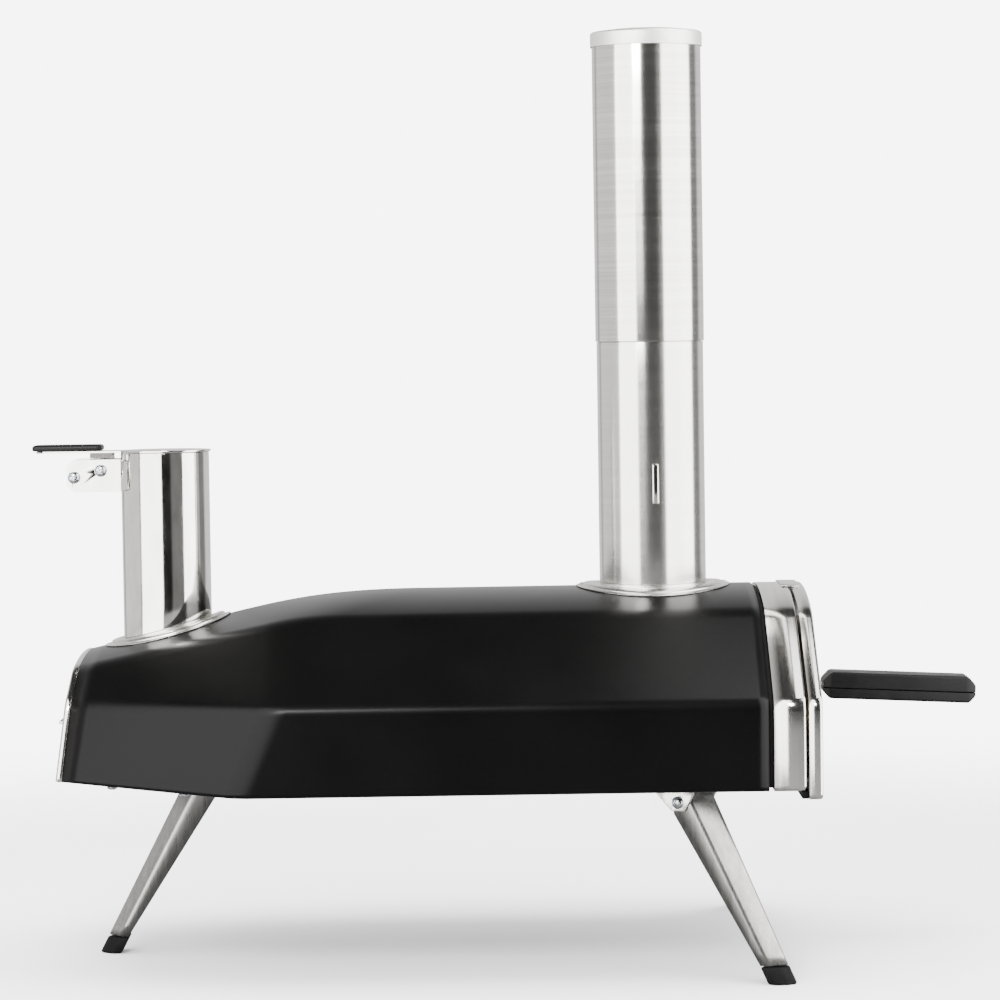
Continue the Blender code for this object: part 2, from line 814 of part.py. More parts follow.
def handle():
    upper = handle_half("handle_upper", HANDLE_THICK - SEAM_LIFT, 1)
    lower = handle_half("handle_lower", -SEAM_LIFT, -1)
    # The steel tang lies in a pocket that is open at the seam and at the door end.
    pocket_low = (-0.01, -TANG_HALF - GAP, -0.001)
    pocket_high = (HANDLE_LENGTH * 0.7 + GAP, TANG_HALF + GAP, TANG_RISE + TANG_THICK + GAP)
    pocket = add_cutter("tang_pocket", box_mesh("tang_pocket", pocket_low, pocket_high))
    pocket.matrix_world = HANDLE_FRAME
    round_edges(upper, 0.0016, 2, 40)
    round_edges(lower, 0.0016, 2, 40)
    boolean(upper, pocket)
    return [upper, lower]


def handle_tang():
    """Steel angle: a foot bolted to the door and a tongue between the grip halves."""
    inverse = HANDLE_FRAME.inverted()

    def upright(x, z):
        point = inverse @ Vector((x, 0, z))
        return point.x, point.z

    back, face = DOOR_FACE + GAP, DOOR_FACE + GAP + TANG_THICK
    low, high = SEAM_LEVEL - 0.018, SEAM_LEVEL + 0.022
    tongue_low, tongue_high = TANG_RISE, TANG_RISE + TANG_THICK
    slope = math.tan(HANDLE_DROOP)
    root_low = upright(face, SEAM_LEVEL + tongue_low + slope * HANDLE_STANDOFF)
    root_high = upright(face, SEAM_LEVEL + tongue_high + slope * HANDLE_STANDOFF)
    end = HANDLE_LENGTH * 0.7
    outline = [upright(back, low), upright(face, low), root_low, (end, tongue_low)]
    outline += [(end, tongue_high), root_high, upright(face, high), upright(back, high)]
    mesh = flat_mesh("handle_tang", outline, 2 * TANG_HALF, HANDLE_FRAME @ SIDEWAYS)
    return add_part("handle_tang", mesh, "brushed stainless")


def handle_bolts(tang):
    """Two bolts from the tang's foot through the door skin."""
    bolts = []
    for name, dz in (("handle_bolt_upper", 0.0145), ("handle_bolt_lower", -0.0105)):
        z = SEAM_LEVEL + dz
        face = DOOR_FACE + GAP + TANG_THICK + GAP
        hole = rod_mesh(f"{name}_hole", 0.0024, (DOOR_FACE - 0.004, 0, z), (face + 0.004, 0, z), 12)
        cutter = add_cutter(f"{name}_hole", hole)
        boolean(tang, cutter)
        boolean(bpy.data.objects["door_outer"], cutter)
        boolean(bpy.data.objects["door_insulation"], cutter)
        depth = face - DOOR_FACE + 0.0032
        profile = [(0, 0.0030), (0.0028, 0.0026), (0.0042, 0.0012), (0.0044, 0)]
        profile += [(0.0020, 0), (0.0020, -depth), (0, -depth)]
        matrix = Matrix.Translation((face, 0, z)) @ Matrix.Rotation(math.pi / 2, 4, "Y")
        bolts.append(turned_part(name, profile, matrix, "zinc plated steel", 12))
    return bolts


front_ring()
fascia()
sill_strip()
door_pieces = [door_outer(), door_inner(), door_insulation(), door_hook()]
tang = handle_tang()
door_pieces += handle() + [tang] + handle_bolts(tang)
hang_on("door_joint", Vector((DOOR_FACE, 0, CREASE)), door_pieces)

# Rear panel

PANEL_RIM = 0.005
PANEL_FACE = 0.0022
OPENING_HALF = TRAY_HALF + LOOSE
OPENING_LOW = TRAY_FLOOR - LOOSE
OPENING_HIGH = TRAY_RIM + LOOSE


def rear_panel():
    """Stainless end panel with a raised rim and an opening for the burner drawer."""
    rings = [
        rear_outline(GAP),
        rear_outline(PANEL_RIM - 0.0015),
        rear_outline(PANEL_RIM, 0.0012),
        rear_outline(PANEL_RIM, 0.0040),
        rear_outline(PANEL_FACE, 0.0055),
    ]
    piece = add_part("rear_panel", loft("rear_panel", rings, cap_last=True), "brushed stainless")
    outward = piece.data.polygons[-1].normal.x
    thicken(piece, SHEET, -1 if outward < 0 else 1)
    low = (SHELL_REAR - 0.04, -OPENING_HALF, OPENING_LOW)
    high = (SHELL_REAR + 0.03, OPENING_HALF, OPENING_HIGH)
    boolean(piece, add_cutter("drawer_opening", box_mesh("drawer_opening", low, high)))


def follow_rear_plane(mesh, start, depth):
    """Move the vertices behind start so that they lie on the rear plane, moved out by depth."""
    for vertex in mesh.vertices:
        if vertex.co.x < start:
            vertex.co.x = rear_x(vertex.co.z) - depth(vertex.co)


def cut_air_slots():
    """Cutters for the row of air slots through the drawer front and the tray's rear wall."""
    slots = []
    for k, y in enumerate((-0.036, -0.012, 0.012, 0.036)):
        low = (SHELL_REAR - 0.05, y - 0.008, TRAY_FLOOR + 0.0035)
        high = (SHELL_REAR + 0.02, y + 0.008, TRAY_FLOOR + 0.0085)
        name = f"air_slot_{k + 1}"
        slots.append(add_cutter(name, box_mesh(name, low, high)))
    return slots


def burner_tray(air_slots):
    """Open-topped fire box. Its rear wall ends flush with the panel's opening."""
    low = (SHELL_REAR - 0.02, -TRAY_HALF, TRAY_FLOOR)
    high = (TRAY_FRONT, TRAY_HALF, TRAY_RIM)
    mesh = box_mesh("burner_tray", low, high)
    follow_rear_plane(mesh, SHELL_REAR, lambda point: PANEL_FACE)
    shape = bmesh.new()
    shape.from_mesh(mesh)
    top = max(shape.faces, key=lambda face: face.calc_center_median().z)
    bmesh.ops.delete(shape, geom=[top], context="FACES_ONLY")
    shape.to_mesh(mesh)
    shape.free()
    tray = add_part("burner_tray", mesh, "heat stained stainless")
    thicken(tray, SHEET)
    for slot in air_slots:
        boolean(tray, slot)
    return tray


def burner_face(air_slots):
    """Drawer front with a folded pull tab. It closes against the outside of the rear panel."""
    margin = 0.008
    plate_foot = max(OPENING_LOW - margin, REAR_UNDERSIDE + 0.0065)
    plate_low = (SHELL_REAR - 0.06, -OPENING_HALF - margin, plate_foot)
    plate_high = (SHELL_REAR - 0.05, OPENING_HALF + margin, OPENING_HIGH + margin)
    mesh = box_mesh("burner_face", plate_low, plate_high)
    inner = PANEL_FACE + GAP
    middle = SHELL_REAR - 0.055
    skins = {True: inner + 0.0015, False: inner}
    for vertex in mesh.vertices:
        vertex.co.x = rear_x(vertex.co.z) - skins[vertex.co.x < middle]
    plate = add_part("burner_face", mesh, "brushed stainless")
    tab_z = OPENING_HIGH + margin - 0.0085
    tab_x = rear_x(tab_z) - inner
    tab_low = (tab_x - 0.0145, -0.026, tab_z)
    tab_high = (tab_x - 0.0004, 0.026, tab_z + 0.0018)
    boolean(plate, add_cutter("pull_tab", box_mesh("pull_tab", tab_low, tab_high)), "UNION")
    for slot in air_slots:
        boolean(plate, slot)
    return plate


def burner_grate():
    """Slotted plate that holds the burning fuel above the air slots."""
    z = TRAY_FLOOR + 0.0105
    low = (SHELL_REAR + 0.004, -TRAY_HALF + SHEET + 0.001, z)
    high = (TRAY_FRONT - SHEET - 0.001, TRAY_HALF - SHEET - 0.001, z + 0.002)
    grate = add_part("burner_grate", box_mesh("burner_grate", low, high), "heat stained stainless")
    pitch = (high[0] - low[0]) / GRATE_SLOTS
    for k in range(GRATE_SLOTS):
        x = low[0] + (k + 0.5) * pitch
        slot_low = (x - 0.0025, low[1] + 0.012, z - 0.01)
        slot_high = (x + 0.0025, high[1] - 0.012, z + 0.01)
        name = f"grate_slot_{k + 1}"
        boolean(grate, add_cutter(name, box_mesh(name, slot_low, slot_high)))
    return grate


rear_panel()
air_slots = cut_air_slots()
drawer_pieces = [burner_tray(air_slots), burner_face(air_slots), burner_grate()]
hang_on("burner_joint", Vector((SHELL_REAR, 0, TRAY_FLOOR)), drawer_pieces)

# Chimney and hopper

COLLAR_SHEET = 0.0012
PIPE_FIT = 0.0003


def collar(name, x, neck_radius, flange_radius, neck_height):
    """Flange that follows the roof, with a neck that stands up inside the tube above it."""

    def ring(radius, lift):
        points = []
        for k in range(TUBE_SIDES):
            angle = 2 * math.pi * k / TUBE_SIDES
            px, py = x + radius * math.cos(angle), radius * math.sin(angle)
            points.append(Vector((px, py, roof_at(px, py) + GAP + lift)))
        return points

    foot = COLLAR_SHEET
    span = flange_radius - neck_radius
    rings = [ring(flange_radius, foot), ring(neck_radius + span * 0.66, foot)]
    rings += [ring(neck_radius + span * 0.33, foot), ring(neck_radius + 0.0003, foot)]
    rings += [ring(neck_radius, foot + 0.0012), ring(neck_radius, neck_height)]
    piece = add_part(name, loft(name, rings), "polished stainless")
    up = piece.data.polygons[0].normal.z > 0
    thicken(piece, COLLAR_SHEET, -1 if up else 1)
    return piece


collar("chimney_collar", CHIMNEY_X, LOWER_RADIUS - TUBE_WALL - PIPE_FIT, COLLAR_RADIUS, 0.024)
collar("hopper_collar", HOPPER_X, HOPPER_RADIUS - TUBE_WALL - PIPE_FIT, HOPPER_COLLAR, 0.018)


def rivets():
    """Rivets that hold the chimney collar to the roof, in line with the body."""
    reach = COLLAR_RADIUS - 0.0045
    for name, side in (("chimney_rivet_front", 1), ("chimney_rivet_rear", -1)):
        x = CHIMNEY_X + side * reach
        z = roof_at(x, 0) + GAP + COLLAR_SHEET + GAP
        profile = [(0, 0.0012), (0.0015, 0.0010), (0.0024, 0), (0, 0)]
        turned_part(name, profile, Matrix.Translation((x, 0, z)), "zinc plated steel", 12)


rivets()


def steel_pipe(name, radius, centre_x, bottom, top, finish, wall=TUBE_WALL):
    pipe = add_part(name, pipe_mesh(name, radius, centre_x, bottom, top), finish)
    outward = pipe.data.polygons[0].normal.dot(pipe.data.polygons[0].center - Vector((centre_x, 0, 0)))
    thicken(pipe, wall, -1 if outward > 0 else 1)
    return pipe


SEAT_RISE = COLLAR_SHEET + 2 * GAP + 0.0006


def chimney():
    seat = roof_at(CHIMNEY_X + LOWER_RADIUS, 0) + SEAT_RISE
    lower = steel_pipe("chimney_lower", LOWER_RADIUS, CHIMNEY_X, seat, CHIMNEY_JOINT, "brushed stainless")
    sleeve_radius = LOWER_RADIUS - TUBE_WALL - PIPE_FIT
    sleeve = steel_pipe(
        "chimney_coupling", sleeve_radius, CHIMNEY_X, CHIMNEY_JOINT - 0.022, CHIMNEY_JOINT + 0.022,
        "brushed stainless", 0.0008,
    )
    upper = steel_pipe(
        "chimney_upper", UPPER_RADIUS, CHIMNEY_X, CHIMNEY_JOINT + GAP, CHIMNEY_TOP, "brushed stainless"
    )
    lug_low = (CHIMNEY_X - 0.0010, -LOWER_RADIUS - 0.0024, LUG_BOTTOM)
    lug_high = (CHIMNEY_X + 0.0040, -LOWER_RADIUS - GAP, LUG_TOP)
    lug = add_part("chimney_lug", box_mesh("chimney_lug", lug_low, lug_high), "polished stainless")
    round_edges(lug, 0.0009)
    return [lower, sleeve, lug], [upper]


def chimney_cap():
    """Closed lid with a short skirt that fits over the top of the tube."""
    inner = UPPER_RADIUS + 0.0004
    outer = inner + 0.0008
    top = CHIMNEY_TOP + GAP
    profile = [(0, top + 0.0058), (outer * 0.5, top + 0.0050), (outer - 0.004, top + 0.0028)]
    profile += [(outer - 0.001, top + 0.0014), (outer, top - 0.0004), (outer, top - CAP_SKIRT)]
    profile += [(inner, top - CAP_SKIRT), (inner, top), (inner - 0.002, top + 0.0008), (0, top + 0.0044)]
    place = Matrix.Translation((CHIMNEY_X, 0, 0))
    return turned_part("chimney_cap", profile, place, "polished stainless", TUBE_SIDES)


lower_pieces, upper_pieces = chimney()
cap = chimney_cap()
hang_on("chimney_joint", Vector((CHIMNEY_X, 0, ROOF)), lower_pieces)
hang_on("upper_tube_joint", Vector((CHIMNEY_X, 0, CHIMNEY_JOINT)), upper_pieces)
hang_on("cap_joint", Vector((CHIMNEY_X, 0, CHIMNEY_TOP)), [cap])


def hopper():
    """Fuel tube that stands on the sloping rear roof, with a level top edge."""

    def seat(x, y):
        return roof_at(x, 0) + SEAT_RISE

    tube = steel_pipe("hopper_tube", HOPPER_RADIUS, HOPPER_X, seat, HOPPER_TOP, "polished stainless")
    pieces = [tube]
    for name, side in (("hopper_hinge_left", 1), ("hopper_hinge_right", -1)):
        pieces.append(hinge_plate(name, side))
    return pieces


HINGE_INNER = LID_HALF + 0.0005
HINGE_LOW = HOPPER_TOP - 0.0305
HINGE_HIGH = HOPPER_TOP - 0.0049
HINGE_REAR = HOPPER_X - 0.0770


def hinge_plate(name, side):
    """Bent plate: one leaf beside the lid's arm, one leaf riveted against the tube."""
    y = HINGE_INNER
    clear = HOPPER_RADIUS + GAP
    bend_x = HOPPER_X - math.sqrt(clear**2 - y**2) - 0.0012
    turn = math.atan2(y, HOPPER_X - bend_x)
    reach = 0.010
    tip_angle = turn + reach / clear
    tip = (HOPPER_X - clear * math.cos(tip_angle), clear * math.sin(tip_angle))
    chamfer = 0.005
    leaf = [(HINGE_REAR, HINGE_LOW + chamfer), (HINGE_REAR + chamfer, HINGE_LOW), (bend_x, HINGE_LOW)]
    leaf += [(bend_x, HINGE_HIGH), (HINGE_REAR + chamfer, HINGE_HIGH), (HINGE_REAR, HINGE_HIGH - chamfer)]
    points = [Vector((x, side * y, z)) for x, z in leaf]
    points += [Vector((tip[0], side * tip[1], z)) for z in (HINGE_LOW + 0.002, HINGE_HIGH - 0.002)]
    mesh = mesh_of(name, points, [(0, 1, 2, 3, 4, 5), (2, 6, 7, 3)])
    plate = add_part(name, face_outward(mesh), "brushed stainless")
    outward = plate.data.polygons[0].normal.y * side
    thicken(plate, 0.0012, 1 if outward > 0 else -1)
    for hole_name, centre in (("pivot", LID_PIVOT), ("stop", LID_STOP)):
        start, end = centre + Vector((0, side * 0.010, 0)), centre + Vector((0, side * 0.022, 0))
        hole = add_cutter(f"{name}_{hole_name}_hole", rod_mesh(f"{name}_{hole_name}", 0.0023, start, end, 12))
        boolean(plate, hole)
    return plate


def cross_bolt(name, centre):
    """Screw across both hinge plates, with a pan head on the right and a nut on the left."""
    face = HINGE_INNER + 0.0012 + GAP
    profile = [(0, face + 0.0030), (0.0026, face + 0.0028), (0.0044, face + 0.0014), (0.0048, face)]
    nut = -face - 0.0028
    profile += [(0.0020, face), (0.0020, -face), (0.0040, -face), (0.0040, nut), (0, nut)]
    matrix = Matrix.Translation(centre) @ Matrix.Rotation(math.pi / 2, 4, "X")
    return turned_part(name, profile, matrix, "zinc plated steel", 16)


def hopper_lid():
    """Flat lid with an arm to the rear and two ears that turn down to the pivot screw."""
    thick = 0.0015
    level = HOPPER_TOP + GAP + thick / 2
    radius = HOPPER_RADIUS + 0.0015
    join = math.asin(LID_HALF / radius)
    steps = 32
    outline = []
    for k in range(steps + 1):
        angle = -math.pi + join + (2 * math.pi - 2 * join) * k / steps
        outline.append((HOPPER_X + radius * math.cos(angle), radius * math.sin(angle)))
    arm_end = LID_REAR + 0.003
    outline += [(arm_end + 0.006, LID_HALF), (arm_end, LID_HALF - 0.006)]
    outline += [(arm_end, -LID_HALF + 0.006), (arm_end + 0.006, -LID_HALF)]
    mesh = flat_mesh("hopper_lid", outline, thick, Matrix.Translation((0, 0, level)))
    lid = add_part("hopper_lid", mesh, "polished stainless")
    for name, side in (("left", 1), ("right", -1)):
        inner, outer = side * (LID_HALF - 0.0012), side * (LID_HALF - 0.0001)
        low = (LID_PIVOT.x - 0.0085, min(inner, outer), LID_PIVOT.z - 0.0055)
        high = (LID_PIVOT.x + 0.0085, max(inner, outer), level)
        ear = add_cutter(f"lid_ear_{name}", box_mesh(f"lid_ear_{name}", low, high))
        boolean(lid, ear, "UNION")
    start, end = LID_PIVOT + Vector((0, -0.02, 0)), LID_PIVOT + Vector((0, 0.02, 0))
    boolean(lid, add_cutter("lid_pivot_hole", rod_mesh("lid_pivot_hole", 0.0023, start, end, 12)))
    return lid


def lid_pad():
    """Flat thumb pad on the rear end of the lid's arm."""
    base = HOPPER_TOP + GAP + 0.0015 + GAP
    low = (LID_REAR, -LID_HALF + 0.001, base)
    high = (LID_REAR + 0.0556, LID_HALF - 0.001, base + 0.0048)
    pad = add_part("lid_pad", box_mesh("lid_pad", low, high), "black nylon")
    round_edges(pad, 0.0020, 3)
    return pad


hopper_pieces = hopper() + [cross_bolt("lid_pivot_screw", LID_PIVOT), cross_bolt("lid_stop_screw", LID_STOP)]
lid_pieces = [hopper_lid(), lid_pad()]
hang_on("hopper_joint", Vector((HOPPER_X, 0, REAR_ROOF)), hopper_pieces)
hang_on("lid_joint", LID_PIVOT, lid_pieces)


def fuel_chute():
    """Fixed tube under the hopper that leads the fuel down to the burner drawer."""
    radius = HOPPER_RADIUS - TUBE_WALL - PIPE_FIT - COLLAR_SHEET - 0.0004
    low_side = roof_at(HOPPER_X - radius, 0)
    steel_pipe("fuel_chute", radius, HOPPER_X, TRAY_RIM + 0.012, low_side + 0.012, "heat stained stainless")


fuel_chute()

# Legs

PIVOT_Z = UNDERSIDE - LEG_PIVOT_DROP
LEG_TILT = math.atan2(LEG_RUN - 0.0122, PIVOT_Z)
LEG_CORNER = 0.009
RIDGE_TOP, RIDGE_FOOT = 0.010, 0.0084
EAR_INNER = LEG_HALF_TOP + 0.0006
BRACKET_REAR, BRACKET_FRONT = -0.020, 0.014
BRACKET_APEX = -0.0065
# The front brackets stand just inside the shell's bottom flange.
BRACKET_REACH = BRACKET_FRONT * math.sin(LEG_SPLAY) + (EAR_INNER + EAR_SHEET) * math.cos(LEG_SPLAY)
FRONT_LEG_Y = HALF_WIDTH - 0.002 - FLANGE_WIDTH - 0.00175 - BRACKET_REACH


def leg_level(n, height):
    """Place along the leg where a line at depth n crosses a height below the pivot."""
    return (height - n * math.sin(LEG_TILT)) / math.cos(LEG_TILT)


def leg_mesh(name):
    """Folded channel, tapering to the foot. Local +X is its outer face and -Z runs down the leg."""
    foot = -(PIVOT_Z - FOOT_HEIGHT)
    stations = [
        (0.0060, -0.0045, LEG_HALF_TOP, RIDGE_TOP, 0.0075),
        (-0.0060, -0.0080, LEG_HALF_TOP - 0.0003, RIDGE_TOP, None),
        (None, 0.0033, LEG_HALF_FOOT, RIDGE_FOOT, foot),
    ]
    sections = []
    for z, flange, half, ridge, level in stations:
        depths = [flange, LEG_CORNER, LEG_CORNER + ridge, LEG_CORNER, flange]
        widths = [-half, -half, 0, half, half]
        points = []
        for n, y in zip(depths, widths):
            if z is None:
                place = leg_level(n, level)
            elif level is None:
                place = z
            else:
                place = min(z, leg_level(n, level))
            points.append(Vector((n, y, place)))
        sections.append(points)
    return loft(name, sections, closed=False)


def foot_mesh(name):
    """Rubber foot with a level sole, a tongue inside the channel and a small snap nub."""
    rings = []
    for height in (-(PIVOT_Z - FOOT_HEIGHT) - 0.0010, -PIVOT_Z):
        spread = 0.0014
        outline = [(0.0025, -1), (LEG_CORNER, -1), (LEG_CORNER + RIDGE_FOOT - 0.002, -0.55)]
        outline += [(LEG_CORNER + RIDGE_FOOT + 0.001, 0), (LEG_CORNER + RIDGE_FOOT - 0.002, 0.55)]
        outline += [(LEG_CORNER, 1), (0.0025, 1)]
        half = LEG_HALF_FOOT + spread
        rings.append([Vector((n, share * half, leg_level(n, height))) for n, share in outline])
    return loft(name, rings, cap_first=True, cap_last=True)


def leg(label, pivot, azimuth):
    """Leg, rubber foot, folding bracket and hinge pin. Azimuth 0 splays toward the door."""
    upright = Matrix.Translation(pivot) @ Matrix.Rotation(azimuth, 4, "Z")
    leaning = upright @ Matrix.Rotation(-LEG_TILT, 4, "Y")
    joint = bpy.data.objects.new(f"leg_joint_{label}", None)
    joint.matrix_world = leaning
    joint.empty_display_size = 0.03
    parts.objects.link(joint)
    across = Vector((0, LEG_HALF_TOP + 0.01, 0))
    drill = rod_mesh(f"pin_hole_{label}", PIN_RADIUS + 0.0002, -across, across, 12)
    hole = add_cutter(f"pin_hole_{label}", drill)
    hole.matrix_world = upright
    channel = add_part(f"leg_{label}", leg_mesh(f"leg_{label}"), "brushed stainless", 20)
    outward = channel.data.polygons[1].normal.x
    thicken(channel, LEG_SHEET, -1 if outward > 0 else 1)
    boolean(channel, hole)
    foot = add_part(f"foot_{label}", foot_mesh(f"foot_{label}"), "black rubber")
    sole = -(PIVOT_Z - FOOT_HEIGHT)
    tongue_low = leg_level(LEG_CORNER, sole) - 0.003
    tongue_high = tongue_low + 0.022
    tongue = box_mesh(f"tongue_{label}", (0.0040, -0.0065, tongue_low), (0.0090, 0.0065, tongue_high))
    nub_low, nub_high = (-0.0008, -0.0035, tongue_high - 0.0055), (0.006, 0.0035, tongue_high - 0.0005)
    nub = box_mesh(f"nub_{label}", nub_low, nub_high)
    for mesh in (tongue, nub):
        boolean(foot, add_cutter(mesh.name, mesh), "UNION")
        bpy.data.objects[mesh.name].matrix_world = leaning
    for piece in (channel, foot):
        piece.parent = joint
    leg_bracket(label, upright, hole, pivot)
    face = EAR_INNER + EAR_SHEET + GAP
    profile = [(0, face + 0.0026), (0.0030, face + 0.0022), (0.0046, face + 0.0010), (0.0048, face)]
    profile += [(PIN_RADIUS, face), (PIN_RADIUS, -face), (0.0042, -face), (0.0042, -face - 0.0020)]
    profile += [(0, -face - 0.0020)]
    sideways = upright @ Matrix.Rotation(math.pi / 2, 4, "X")
    turned_part(f"leg_pin_{label}", profile, sideways, "zinc plated steel", 16)


def leg_bracket(label, upright, hole, pivot):
    """Folded bracket under the base pan: a plate with two ears that hold the pin."""
    plate_z = UNDERSIDE + SHEET - 0.0002 - pivot.z
    ear_low, ear_short = BRACKET_APEX, plate_z - 0.004
    y = EAR_INNER + EAR_SHEET
    sections = []
    ear_ends = ((BRACKET_REAR, ear_short), (-0.006, ear_low), (0.006, ear_low), (BRACKET_FRONT, ear_short))
    for x, low in ear_ends:
        corners = ((-y, low), (-y, plate_z), (y, plate_z), (y, low))
        sections.append([Vector((x, side, height)) for side, height in corners])
    name = f"leg_bracket_{label}"
    mesh = loft(name, sections, closed=False)
    bracket = add_part(name, mesh, "brushed stainless")
    up = max(bracket.data.polygons, key=lambda face: face.area).normal.z > 0
    thicken(bracket, EAR_SHEET, -1 if up else 1)
    boolean(bracket, hole)
    bracket.matrix_world = upright
    return bracket


leg("rear", Vector((REAR_LEG_X, 0, PIVOT_Z)), math.pi)
leg("front_left", Vector((FRONT_LEG_X, FRONT_LEG_Y, PIVOT_Z)), LEG_SPLAY)
leg("front_right", Vector((FRONT_LEG_X, -FRONT_LEG_Y, PIVOT_Z)), -LEG_SPLAY)
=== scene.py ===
import json
import math

import bpy
import numpy as np
from mathutils import Matrix, Vector


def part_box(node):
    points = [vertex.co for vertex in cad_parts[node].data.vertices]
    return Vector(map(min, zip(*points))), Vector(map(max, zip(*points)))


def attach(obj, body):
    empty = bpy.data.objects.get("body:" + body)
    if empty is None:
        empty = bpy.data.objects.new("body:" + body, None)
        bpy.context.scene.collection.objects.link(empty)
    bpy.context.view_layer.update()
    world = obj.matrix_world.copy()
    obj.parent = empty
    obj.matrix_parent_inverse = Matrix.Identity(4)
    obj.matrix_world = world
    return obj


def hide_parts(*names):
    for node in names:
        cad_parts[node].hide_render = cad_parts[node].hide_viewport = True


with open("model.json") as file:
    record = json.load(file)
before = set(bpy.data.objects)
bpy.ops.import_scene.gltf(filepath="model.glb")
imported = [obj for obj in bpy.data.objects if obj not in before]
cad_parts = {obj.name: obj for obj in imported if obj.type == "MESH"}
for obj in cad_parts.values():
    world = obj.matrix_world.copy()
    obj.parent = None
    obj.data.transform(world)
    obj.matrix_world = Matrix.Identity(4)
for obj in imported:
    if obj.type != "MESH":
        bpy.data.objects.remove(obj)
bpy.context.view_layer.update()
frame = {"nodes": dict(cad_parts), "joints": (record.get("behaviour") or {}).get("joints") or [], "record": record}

nodes = frame["nodes"]
bodyOf = {name: body for body, names in frame["record"]["behaviour"]["bodies"].items() for name in names}
slotOf = {row["node"]: row["material_slot"] for row in frame["record"]["subparts"]}
joints = {joint["name"]: joint for joint in frame["joints"]}


def linear(hexColour):
    # sRGB hex to linear light: the power curve of the sRGB standard, channel by channel
    channels = [int(hexColour[k:k + 2], 16) / 255 for k in (1, 3, 5)]
    return tuple(c / 12.92 if c <= 0.04045 else ((c + 0.055) / 1.055) ** 2.4 for c in channels) + (1,)


def addNode(tree, kind, inputs=None, stops=None, **settings):
    # one node with its settings; an input is a value or the output it is linked from
    node = tree.nodes.new(kind)
    for name, value in settings.items():
        setattr(node, name, value)
    for name, value in (inputs or {}).items():
        if isinstance(value, bpy.types.NodeSocket):
            tree.links.new(value, node.inputs[name])
        else:
            node.inputs[name].default_value = value
    for k, (place, colour) in enumerate(stops or []):
        elements = node.color_ramp.elements
        element = elements[k] if k < 2 else elements.new(place)
        element.position = place
        element.color = colour
    return node


def newMaterial(name, constants):
    # an empty Principled material, its constant values set on the shader's own sockets
    material = bpy.data.materials.new(name)
    material.use_nodes = True
    tree = material.node_tree
    shader = tree.nodes["Principled BSDF"]
    for socket, value in constants.items():
        shader.inputs[socket].default_value = value
    return material, tree, shader


def pattern(tree, mm, detail=3, roughness=0.55):
    # noise whose blobs measure mm = (x, y, z) millimetres on the object
    place = addNode(tree, "ShaderNodeTexCoord")
    scale = tuple(1000 / size for size in mm)
    stretched = addNode(tree, "ShaderNodeMapping", {"Vector": place.outputs["Object"], "Scale": scale})
    noise = addNode(tree, "ShaderNodeTexNoise",
                    {"Vector": stretched.outputs[0], "Scale": 1.0, "Detail": detail, "Roughness": roughness})
    return noise.outputs[0]


def remap(tree, value, low, high, fromLow=0.3, fromHigh=0.7):
    # a straight line that takes one span of values to another, held at both ends
    made = addNode(tree, "ShaderNodeMapRange",
                   {"Value": value, "From Min": fromLow, "From Max": fromHigh, "To Min": low, "To Max": high})
    return made.outputs[0]


def between(tree, factor, first, second):
    # the first colour at factor 0, the second at 1
    mix = addNode(tree, "ShaderNodeMix", data_type="RGBA", inputs={0: factor, 6: first, 7: second})
    return mix.outputs[2]


def bumped(tree, shader, height, strength, mm):
    # shading tilted by a height pattern that is mm millimetres deep
    bump = addNode(tree, "ShaderNodeBump", {"Height": height, "Strength": strength, "Distance": mm / 1000})
    tree.links.new(bump.outputs[0], shader.inputs["Normal"])


def makePowderCoat():
    # satin black polyester powder, baked on mild steel: a soft even sheen over a fine orange peel
    look = {"deep": "#030303", "worn": "#050505", "cloudMm": 70, "peelMm": 1.3, "gloss": (0.27, 0.33),
            "bump": (0.12, 0.05)}
    constants = {"IOR": 1.5, "Specular IOR Level": 0.09}
    material, tree, shader = newMaterial("satin black powder coat on steel", constants)
    cloud = pattern(tree, (look["cloudMm"],) * 3, 1)
    peel = pattern(tree, (look["peelMm"],) * 3, 2)
    black = between(tree, remap(tree, cloud, 0, 1, 0.1, 0.9), linear(look["deep"]), linear(look["worn"]))
    tree.links.new(black, shader.inputs["Base Color"])
    tree.links.new(remap(tree, cloud, *look["gloss"], 0.1, 0.9), shader.inputs["Roughness"])
    bumped(tree, shader, peel, *look["bump"])
    return material


def makeBrushed(name, grainMm, pale="#dbd9d5", dull="#c6c4bf", gloss=(0.17, 0.27), smear=0.0):
    # 304 stainless sheet, belt brushed: fine parallel lines that smear reflections across their length
    constants = {"Metallic": 1.0, "Anisotropic": smear, "Anisotropic Rotation": 0.25}
    material, tree, shader = newMaterial(name, constants)
    lines = pattern(tree, grainMm, 3, 0.7)
    # the real lines are under 0.1 mm apart and are drawn coarser, so that they show
    broad = pattern(tree, tuple(4.5 * size for size in grainMm), 2)
    both = addNode(tree, "ShaderNodeMath", {0: lines, 1: broad}, operation="MULTIPLY").outputs[0]
    tree.links.new(between(tree, remap(tree, both, 0, 1, 0.14, 0.38), linear(dull), linear(pale)),
                   shader.inputs["Base Color"])
    tree.links.new(remap(tree, lines, *gloss), shader.inputs["Roughness"])
    bumped(tree, shader, lines, 0.03, 0.02)
    return material


